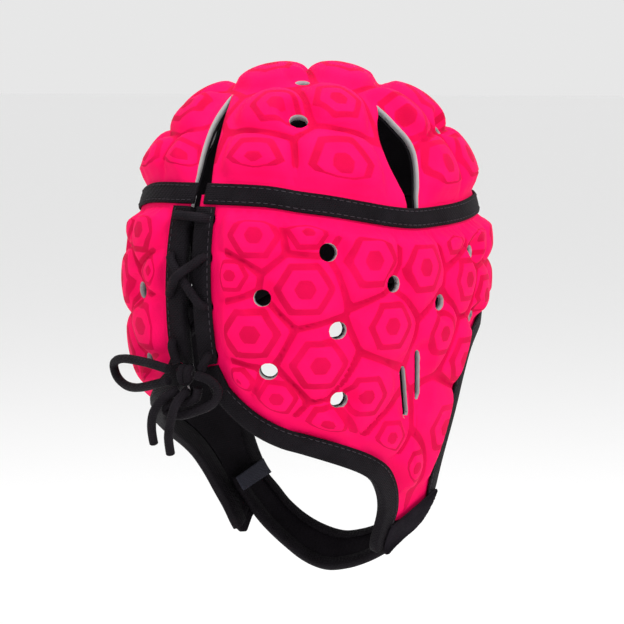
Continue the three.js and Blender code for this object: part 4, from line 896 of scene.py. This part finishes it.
def build_sides():
    columns = np.linspace(0, PANEL_COLUMNS, PANEL_COLUMNS * FINE + 1)
    rows = np.linspace(0, PANEL_ROWS, PANEL_ROWS * FINE + 1)
    azimuth, depth = panel_lines(columns, rows)
    openings = round_holes(SIDE_HOLES) + ear_slits()
    p, keep = open_holes(form_point(azimuth, depth), openings + round_holes(EYELET_HOLES))
    azimuth = np.degrees(np.arctan2(-p[..., 0], p[..., 1]))
    depth = -p[..., 2]
    height, crease, hexagon = bulge_field(p, SIDE_BULGES, SIDE_HOLES)
    valley = VALLEY_THICKNESS - EDGE_THICKNESS
    rise = (SIDE_PAD_THICKNESS - VALLEY_THICKNESS) * height
    from_tape = smooth((nearest(bound_edges(), p) - TAPE_WIDTH - TAPE_MARGIN) / PAD_SHOULDER)
    from_band = smooth((depth - band_depth(azimuth) - BAND_FLANGE) / PAD_SHOULDER)
    from_tip = smooth((CAP_DEPTH * FLAT_TIP_DEPTH - depth) / PAD_SHOULDER)
    slits = np.array([
        start + (end - start) * share for start, end, _ in ear_slits()
        for share in (0, 0.25, 0.5, 0.75, 1)
    ])
    from_slit = smooth((nearest(slits, p) - SLIT_WIDTH / 2) / PAD_SHOULDER)
    thickness = EDGE_THICKNESS + (valley + rise) * from_tape * from_band * from_tip * from_slit
    thickness += gathers(azimuth, depth - band_depth(azimuth) - BAND_FLANGE) * from_tape
    normal = form_normal(p)
    outer = p + normal * (PAD_BASE + thickness)[..., None]
    inner = p + normal * PAD_BASE
    bare = 30.0 * (1 - from_tape * from_band)
    obj = masked_shell(
        "side_foam", outer, inner, keep, False,
        (("crease", crease + bare), ("hexagon", hexagon + bare)),
    )
    dress(obj, PINK, "side_pad", FOAM, LINING)
    for face in obj.data.polygons:
        if face.material_index == WALL_FACES and face.center.z < TIP_CLOTH_BELOW + TIP_CLOTH_TURN:
            face.material_index = INSIDE_FACES
    margin = 0.6
    lining_columns = columns[columns >= 1]
    lining_rows = np.linspace(0, PANEL_ROWS - 1, (PANEL_ROWS - 1) * FINE + 1)
    azimuth, depth = panel_lines(lining_columns, lining_rows, margin)
    p, keep = open_holes(form_point(azimuth, depth), openings)
    normal = form_normal(p)
    obj = masked_shell("side_inner_cloth", p + normal * LINING_TOP, p, keep, False)
    dress(obj, LINING, "side_lining")


def gap_marks(depth):
    """Azimuths of the gaps' edges at each depth, in order round the crown."""
    places = np.linspace(0, 1, 60)
    rows = {}
    for name, table in (("rear", REAR_GAP), ("side", SIDE_GAP)):
        runs = [[spline(table, k, place * (len(table) - 1)) for place in places] for k in range(3)]
        runs[0] = np.array(runs[0]) * DOME_DEPTH
        rows[name] = [np.interp(depth, runs[0], runs[k]) for k in (1, 2)]
    rear, side = rows["rear"], rows["side"]
    return np.stack([
        rear[0], rear[1], side[0], side[1], 360 - side[1], 360 - side[0], 360 + rear[0],
    ])


def crown_columns(spacing):
    """Span number and share of each grid column between the gaps' edges."""
    marks = gap_marks(0.4 * DOME_DEPTH)
    span, share = [], []
    for k, width in enumerate(np.diff(marks)):
        count = max(3, round(width / spacing))
        span += [k] * count
        share += [i / count for i in range(count)]
    return np.array(span + [len(marks) - 2]), np.array(share + [1.0])


GAP_SPANS = {0: REAR_GAP, 2: SIDE_GAP, 4: SIDE_GAP}


def build_crown():
    span, share = crown_columns(360 / (44 * FINE))
    marks = gap_marks(0.4 * DOME_DEPTH)
    azimuth = (marks[span] + (marks[span + 1] - marks[span]) * share)[None, :]
    rings = np.linspace(0, CROWN_RINGS, CROWN_RINGS * FINE + 1)[:, None]
    joint = band_depth(azimuth) - JOINT_GAP / 2
    flange_depth = joint - BAND_FLANGE
    flange = form_shares(flange_depth)[0]
    inside = depth_at(flange * np.minimum(rings, CROWN_RINGS - 1) / (CROWN_RINGS - 1))
    rim = flange_depth + (joint - flange_depth) * (rings - CROWN_RINGS + 1)
    depth = np.where(rings > CROWN_RINGS - 1, rim, inside)
    marks = gap_marks(depth)
    columns = np.broadcast_to(span, depth.shape)[None]
    low = np.take_along_axis(marks, columns, 0)[0]
    high = np.take_along_axis(marks, columns + 1, 0)[0]
    turn = low + (high - low) * share
    middle = (depth[:-1, :-1] + depth[1:, 1:]) / 2
    gapped = np.zeros(middle.shape, bool)
    for number, table in GAP_SPANS.items():
        first, last = table[0][0] * DOME_DEPTH, table[-1][0] * DOME_DEPTH
        gapped |= (span[:-1] == number) & (middle > first) & (middle < last)
    p, keep = open_holes(form_point(turn, depth), round_holes(CROWN_HOLES))
    keep &= ~gapped
    p[:, -1] = p[:, 0]
    height, crease, hexagon = bulge_field(p, CROWN_BULGES, CROWN_HOLES)
    valley = VALLEY_THICKNESS - EDGE_THICKNESS
    from_gap = smooth((nearest(gap_edges(), p) - GAP_LIP) / PAD_SHOULDER)
    rise = (CROWN_PAD_THICKNESS - VALLEY_THICKNESS) * height * from_gap
    from_band = smooth((band_depth(turn) - BAND_FLANGE + p[..., 2]) / PAD_SHOULDER)
    thickness = EDGE_THICKNESS + (valley + rise) * from_band
    thickness += gathers(turn, band_depth(turn) - BAND_FLANGE + p[..., 2])
    normal = form_normal(p)
    outer = p + normal * (PAD_BASE + thickness)[..., None]
    inner = p + normal * PAD_BASE
    bare = 30.0 * (1 - from_band)
    obj = masked_shell(
        "crown_foam", outer, inner, keep, True,
        (("crease", crease + bare), ("hexagon", hexagon + bare)),
    )
    dress(tidy(obj), PINK, "crown_pad", FOAM, LINING)
    obj = masked_shell("crown_inner_cloth", p + normal * LINING_TOP, p, keep, True)
    dress(tidy(obj), LINING, "crown_lining")


build_sides()
build_crown()

# Tapes

TAPE_FACE = PAD_BASE + EDGE_THICKNESS + TAPE_GAP
WEB_GAP = 0.3
MITRE_SHARE = 0.03


def loft(name, sections):
    """Closed solid through rings of points, with one face closing each end."""
    sections = np.array(sections)
    count, ring = sections.shape[:2]
    index = np.arange(count * ring).reshape(count, ring)
    faces = []
    for i in range(count - 1):
        for k in range(ring):
            n = (k + 1) % ring
            faces.append((index[i, k], index[i + 1, k], index[i + 1, n], index[i, n]))
    faces.append(tuple(index[0]))
    faces.append(tuple(index[-1][::-1]))
    obj = add_mesh(name, sections.reshape(-1, 3), faces)
    mesh = bmesh.new()
    mesh.from_mesh(obj.data)
    bmesh.ops.recalc_face_normals(mesh, faces=mesh.faces)
    mesh.to_mesh(obj.data)
    mesh.free()
    return obj


def bevelled(obj, width=0.35):
    bevel = obj.modifiers.new("round", "BEVEL")
    bevel.width = width * MM
    bevel.segments = 2
    bevel.limit_method = "ANGLE"
    bevel.angle_limit = math.radians(50)
    return obj


def channel_section(edge, inset):
    p, q = form_point(*edge), form_point(*inset)
    inward = q - p
    full = np.linalg.norm(inward) * TAPE_WIDTH / (TAPE_WIDTH + TAPE_MARGIN)
    inward = inward / np.linalg.norm(inward)

    def at(distance, stand_off):
        if distance > 0:
            return layer(*map(np.float64, place_of(p + inward * distance)), np.float64(stand_off))
        return layer(*map(np.float64, edge), np.float64(stand_off)) + inward * distance

    outside = TAPE_FACE + TAPE_THICKNESS
    underside = PAD_BASE - TAPE_UNDER_GAP
    web = WEB_GAP + TAPE_THICKNESS
    return [
        at(full, outside), at(full / 2, outside), at(0.5, outside), at(-web * 0.7, outside - 0.5),
        at(-web, outside - 1.4), at(-web, underside + 0.5), at(-web * 0.7, underside - 0.6),
        at(0.5, underside - TAPE_THICKNESS), at(full / 2, underside - TAPE_THICKNESS),
        at(full, underside - TAPE_THICKNESS), at(full, underside), at(full / 2, underside),
        at(0.3, underside), at(-WEB_GAP, underside + 0.2), at(-WEB_GAP, TAPE_FACE - 0.2),
        at(0.3, TAPE_FACE), at(full / 2, TAPE_FACE), at(full, TAPE_FACE),
    ]


def panel_section(side, column):
    edge = panel_place(side, column, PANEL_ROWS)
    return channel_section(edge, panel_place(side, column, PANEL_ROWS - 1))


def corner_section(side):
    return channel_section(edge_place(side, 0), corner_inset(side, 0))


TAPE_STEP = 0.25


def columns_between(first_row, last_row):
    columns = np.arange(2, PANEL_COLUMNS + 0.001, TAPE_STEP)
    rows = [column_ends(c)[1] for c in columns]
    return [c for c, r in zip(columns, rows) if first_row <= r <= last_row]


def build_tapes():
    for name, side in SIDES.items():
        sections = []
        for row in np.arange(1, PANEL_ROWS - 0.99, TAPE_STEP):
            edge = rear_place(side, row)
            inset = rear_step(side, edge[1], TAPE_WIDTH + TAPE_MARGIN)
            sections.append(channel_section(edge, inset))
        corner = np.array(corner_section(side))
        sections.append(corner + (np.array(sections[-1]) - corner) * MITRE_SHARE * 2)
        obj = loft("rear_tape_" + name, sections)
        dress(obj, TAPE, "rear_binding_" + name)
        columns = columns_between(0, REAR_TAPE_END)
        sections = [panel_section(side, c) for c in columns]
        sections.insert(0, corner + (np.array(sections[0]) - corner) * MITRE_SHARE * 2)
        dress(loft("lower_tape_" + name, sections), TAPE, "lower_binding_" + name)
    columns = columns_between(FACE_TAPE_START, len(LOWER_EDGE))
    sections = [panel_section(SIDES["left"], c) for c in columns]
    sections += [panel_section(SIDES["right"], c) for c in columns[-2::-1]]
    dress(loft("face_tape", sections), TAPE, "face_binding")
    sections = []
    for azimuth in np.linspace(BAND_START, BAND_END, 361):
        depth = float(band_depth(azimuth))
        half = TAPE_WIDTH / 2
        corners = [
            (half, 0), (half, 0.6), (half - 0.8, 1), (0, 1.1), (0.8 - half, 1), (-half, 0.6),
            (-half, 0), (0, 0),
        ]
        sections.append([
            layer(np.float64(azimuth), np.float64(depth + down),
                  np.float64(TAPE_FACE + TAPE_THICKNESS * up))
            for down, up in corners
        ])
    dress(loft("round_band", sections), TAPE, "head_band")


build_tapes()

# Chin strap, tab and patch

STRAP_SPAN, STRAP_REACH, STRAP_DROP, STRAP_THICKNESS = 52, 38, 270, 3.0
BIND_WIDTH, BIND_THICKNESS, BIND_GAP = 5.5, 0.7, 0.3


def strap_edge(first, place):
    return np.array([
        STRAP_SPAN * spline(STRAP_SECTIONS, first, place),
        -STRAP_REACH * spline(STRAP_SECTIONS, first + 1, place),
        -STRAP_DROP * spline(STRAP_SECTIONS, first + 2, place),
    ])


def strap_frame(place):
    rear, front = strap_edge(0, place), strap_edge(3, place)
    last, step = len(STRAP_SECTIONS) - 1, 0.2
    along = sum(strap_edge(k, min(last, place + step)) for k in (0, 3))
    along = along - sum(strap_edge(k, max(0, place - step)) for k in (0, 3))
    width = (front - rear) / np.linalg.norm(front - rear)
    normal = np.cross(along, width)
    return rear, front, width, normal / np.linalg.norm(normal)


def strap_places():
    return np.linspace(0, len(STRAP_SECTIONS) - 1, 90)


def build_strap():
    half = STRAP_THICKNESS / 2
    sections = []
    for place in strap_places():
        rear, front, width, normal = strap_frame(place)
        ring = []
        span = np.linalg.norm(front - rear)
        for face, shares in ((-1, np.linspace(0, 1, 13)), (1, np.linspace(1, 0, 13))):
            for share in shares:
                puff = half * (0.55 + 0.45 * math.sin(math.pi * share) ** 0.5)
                ring.append(rear + width * span * share + normal * face * puff)
        sections.append(ring)
    dress(loft("chin_band", sections), LINING, "chin_strap")
    for name, on_front in (("rear", False), ("front", True)):
        inside = half + BIND_GAP
        outside = inside + BIND_THICKNESS
        sections = []
        for place in strap_places():
            rear, front, width, normal = strap_frame(place)
            edge, inward = (front, -1) if on_front else (rear, 1)
            out = -BIND_GAP - BIND_THICKNESS
            corners = [
                (BIND_WIDTH, outside), (BIND_WIDTH / 2, outside + 0.2), (0.4, outside),
                (out * 0.6, outside - 0.6), (out, 0), (out * 0.6, 0.6 - outside), (0.4, -outside),
                (BIND_WIDTH / 2, -outside - 0.2), (BIND_WIDTH, -outside), (BIND_WIDTH, -inside),
                (0, -inside), (-BIND_GAP, -inside + 0.4), (-BIND_GAP, inside - 0.4), (0, inside),
                (BIND_WIDTH, inside),
            ]
            sections.append([edge + width * inward * w + normal * n for w, n in corners])
        dress(loft("strap_tape_" + name, sections), TAPE, "strap_binding_" + name)
    lift = half + BIND_GAP + BIND_THICKNESS + 0.4
    sections = []
    for share in np.linspace(0, 1, 9):
        rear, front, width, normal = strap_frame(share * 1.2)
        inner = 1 if normal[2] > 0 else -1
        sections.append([
            rear - width * 1.5 + normal * inner * lift,
            front + width * 1.5 + normal * inner * lift,
            front + width * 1.5 + normal * inner * (lift + 1),
            rear - width * 1.5 + normal * inner * (lift + 1),
        ])
    dress(bevelled(loft("woven_tab", sections)), WEBBING, "strap_tab")


def build_patch():
    rows = np.linspace(0, len(PATCH_ROWS) - 1, 80)
    columns = np.linspace(0, 1, 80)
    shares = np.array([[spline(PATCH_ROWS, k, row) for k in range(3)] for row in rows])
    depth = CAP_DEPTH * shares[:, :1] + 0 * columns
    azimuth = shares[:, 1:2] + (shares[:, 2:3] - shares[:, 1:2]) * columns
    base = TAPE_FACE + TAPE_THICKNESS + 0.4
    generator = np.random.default_rng(5)
    pile = 1.2 + 0.35 * generator.random(depth.shape)
    ends = np.minimum(rows, rows[-1] - rows)[:, None] / 0.3
    border = np.minimum(ends, np.minimum(columns, 1 - columns)[None, :] * 20)
    pile = np.where(border < 0.6, 0.9, pile)
    keep = np.ones((len(rows) - 1, len(columns) - 1), bool)
    obj = masked_shell(
        "fuzzy_patch", layer(azimuth, depth, base + pile),
        layer(azimuth, depth, base + 0 * pile), keep, False,
    )
    dress(obj, PILE, "loop_patch")


build_strap()
build_patch()

# Stitching along the tapes

SEAM_INSET = 1.6


def stitch_rows(name, lines, length=2.4, gap=1.4, radius=0.22):
    """Small thread stitches, as short bars, along lines of points."""
    points, faces = [], []
    for line in lines:
        line = np.array(line)
        steps = np.linalg.norm(np.diff(line, axis=0), axis=1)
        run = np.concatenate([[0], np.cumsum(steps)])
        for start in np.arange(1, run[-1] - length, length + gap):
            ends = [
                np.array([np.interp(start + extra, run, line[:, k]) for k in range(3)])
                for extra in (0, length)
            ]
            along = ends[1] - ends[0]
            along = along / max(np.linalg.norm(along), 1e-9)
            side = np.cross(along, [0.3, 0.5, 0.8])
            side = side / np.linalg.norm(side)
            up = np.cross(along, side)
            first = len(points)
            for end in ends:
                for a, b in ((1, 0), (0, 1), (-1, 0), (0, -1)):
                    points.append(end + (side * a + up * b) * radius)
            for k in range(4):
                n = (k + 1) % 4
                faces.append((first + k, first + n, first + 4 + n, first + 4 + k))
            faces.append((first + 3, first + 2, first + 1, first))
            faces.append((first + 4, first + 5, first + 6, first + 7))
    obj = add_mesh(name, points, faces)
    return dress(obj, THREAD, None)


def seam_lines():
    face = TAPE_FACE + TAPE_THICKNESS + 0.08
    share = (TAPE_WIDTH - SEAM_INSET) / (TAPE_WIDTH + TAPE_MARGIN)
    lines = []
    azimuths = np.linspace(BAND_START + 1, BAND_END - 1, 300)
    for shift in (-TAPE_WIDTH / 2 + SEAM_INSET, TAPE_WIDTH / 2 - SEAM_INSET):
        lines.append(layer(azimuths, band_depth(azimuths) + shift, face + 0.06))
    for side in SIDES.values():
        rows = np.arange(1, PANEL_ROWS - 1, 0.25)
        places = [rear_step(side, rear_place(side, r)[1], TAPE_WIDTH - SEAM_INSET) for r in rows]
        lines.append([layer(*map(np.float64, p), np.float64(face)) for p in places])
        for first, last in ((0.8, REAR_TAPE_END - 0.2), (FACE_TAPE_START + 0.2, 99)):
            places = []
            for c in columns_between(first, last):
                edge = panel_place(side, c, PANEL_ROWS)
                places.append(mix(edge, panel_place(side, c, PANEL_ROWS - 1), share))
            lines.append([layer(*map(np.float64, p), np.float64(face)) for p in places])
    return lines


stitch_rows("tape_stitches", seam_lines())

# Stage

bpy.context.scene.view_settings.view_transform = "Standard"

FLOOR_DEPTH, FLOOR_REACH = 0.42, 60
floor_mesh = bpy.data.meshes.new("floor")
floor_mesh.from_pydata(
    [
        (x * FLOOR_REACH, y * FLOOR_REACH, -FLOOR_DEPTH)
        for x, y in ((-1, -1), (1, -1), (1, 1), (-1, 1))
    ],
    [], [(0, 1, 2, 3)],
)
floor = bpy.data.objects.new("floor", floor_mesh)
bpy.context.scene.collection.objects.link(floor)
STAGE.use_nodes = True
stage_inputs = STAGE.node_tree.nodes["Principled BSDF"].inputs
stage_inputs["Base Color"].default_value = (0.97, 0.97, 0.97, 1)
stage_inputs["Roughness"].default_value = 0.9
floor_mesh.materials.append(STAGE)

world = bpy.data.worlds.new("studio")
bpy.context.scene.world = world
world.use_nodes = True
world.node_tree.nodes["Background"].inputs["Color"].default_value = (1, 1, 1, 1)
world.node_tree.nodes["Background"].inputs["Strength"].default_value = 0.8


def lamp(name, place, energy, size):
    data = bpy.data.lights.new(name, "AREA")
    data.energy = energy
    data.size = size
    obj = bpy.data.objects.new(name, data)
    obj.location = place
    obj.rotation_euler = (Vector(place) - TARGET).to_track_quat("Z", "Y").to_euler()
    bpy.context.scene.collection.objects.link(obj)


lamp("key", (-1.1, 0.5, 0.9), 15, 0.45)
lamp("fill", (0.9, 1.2, 0.3), 2.5, 0.9)
lamp("top", (0.1, 0.1, 1.3), 7, 0.6)
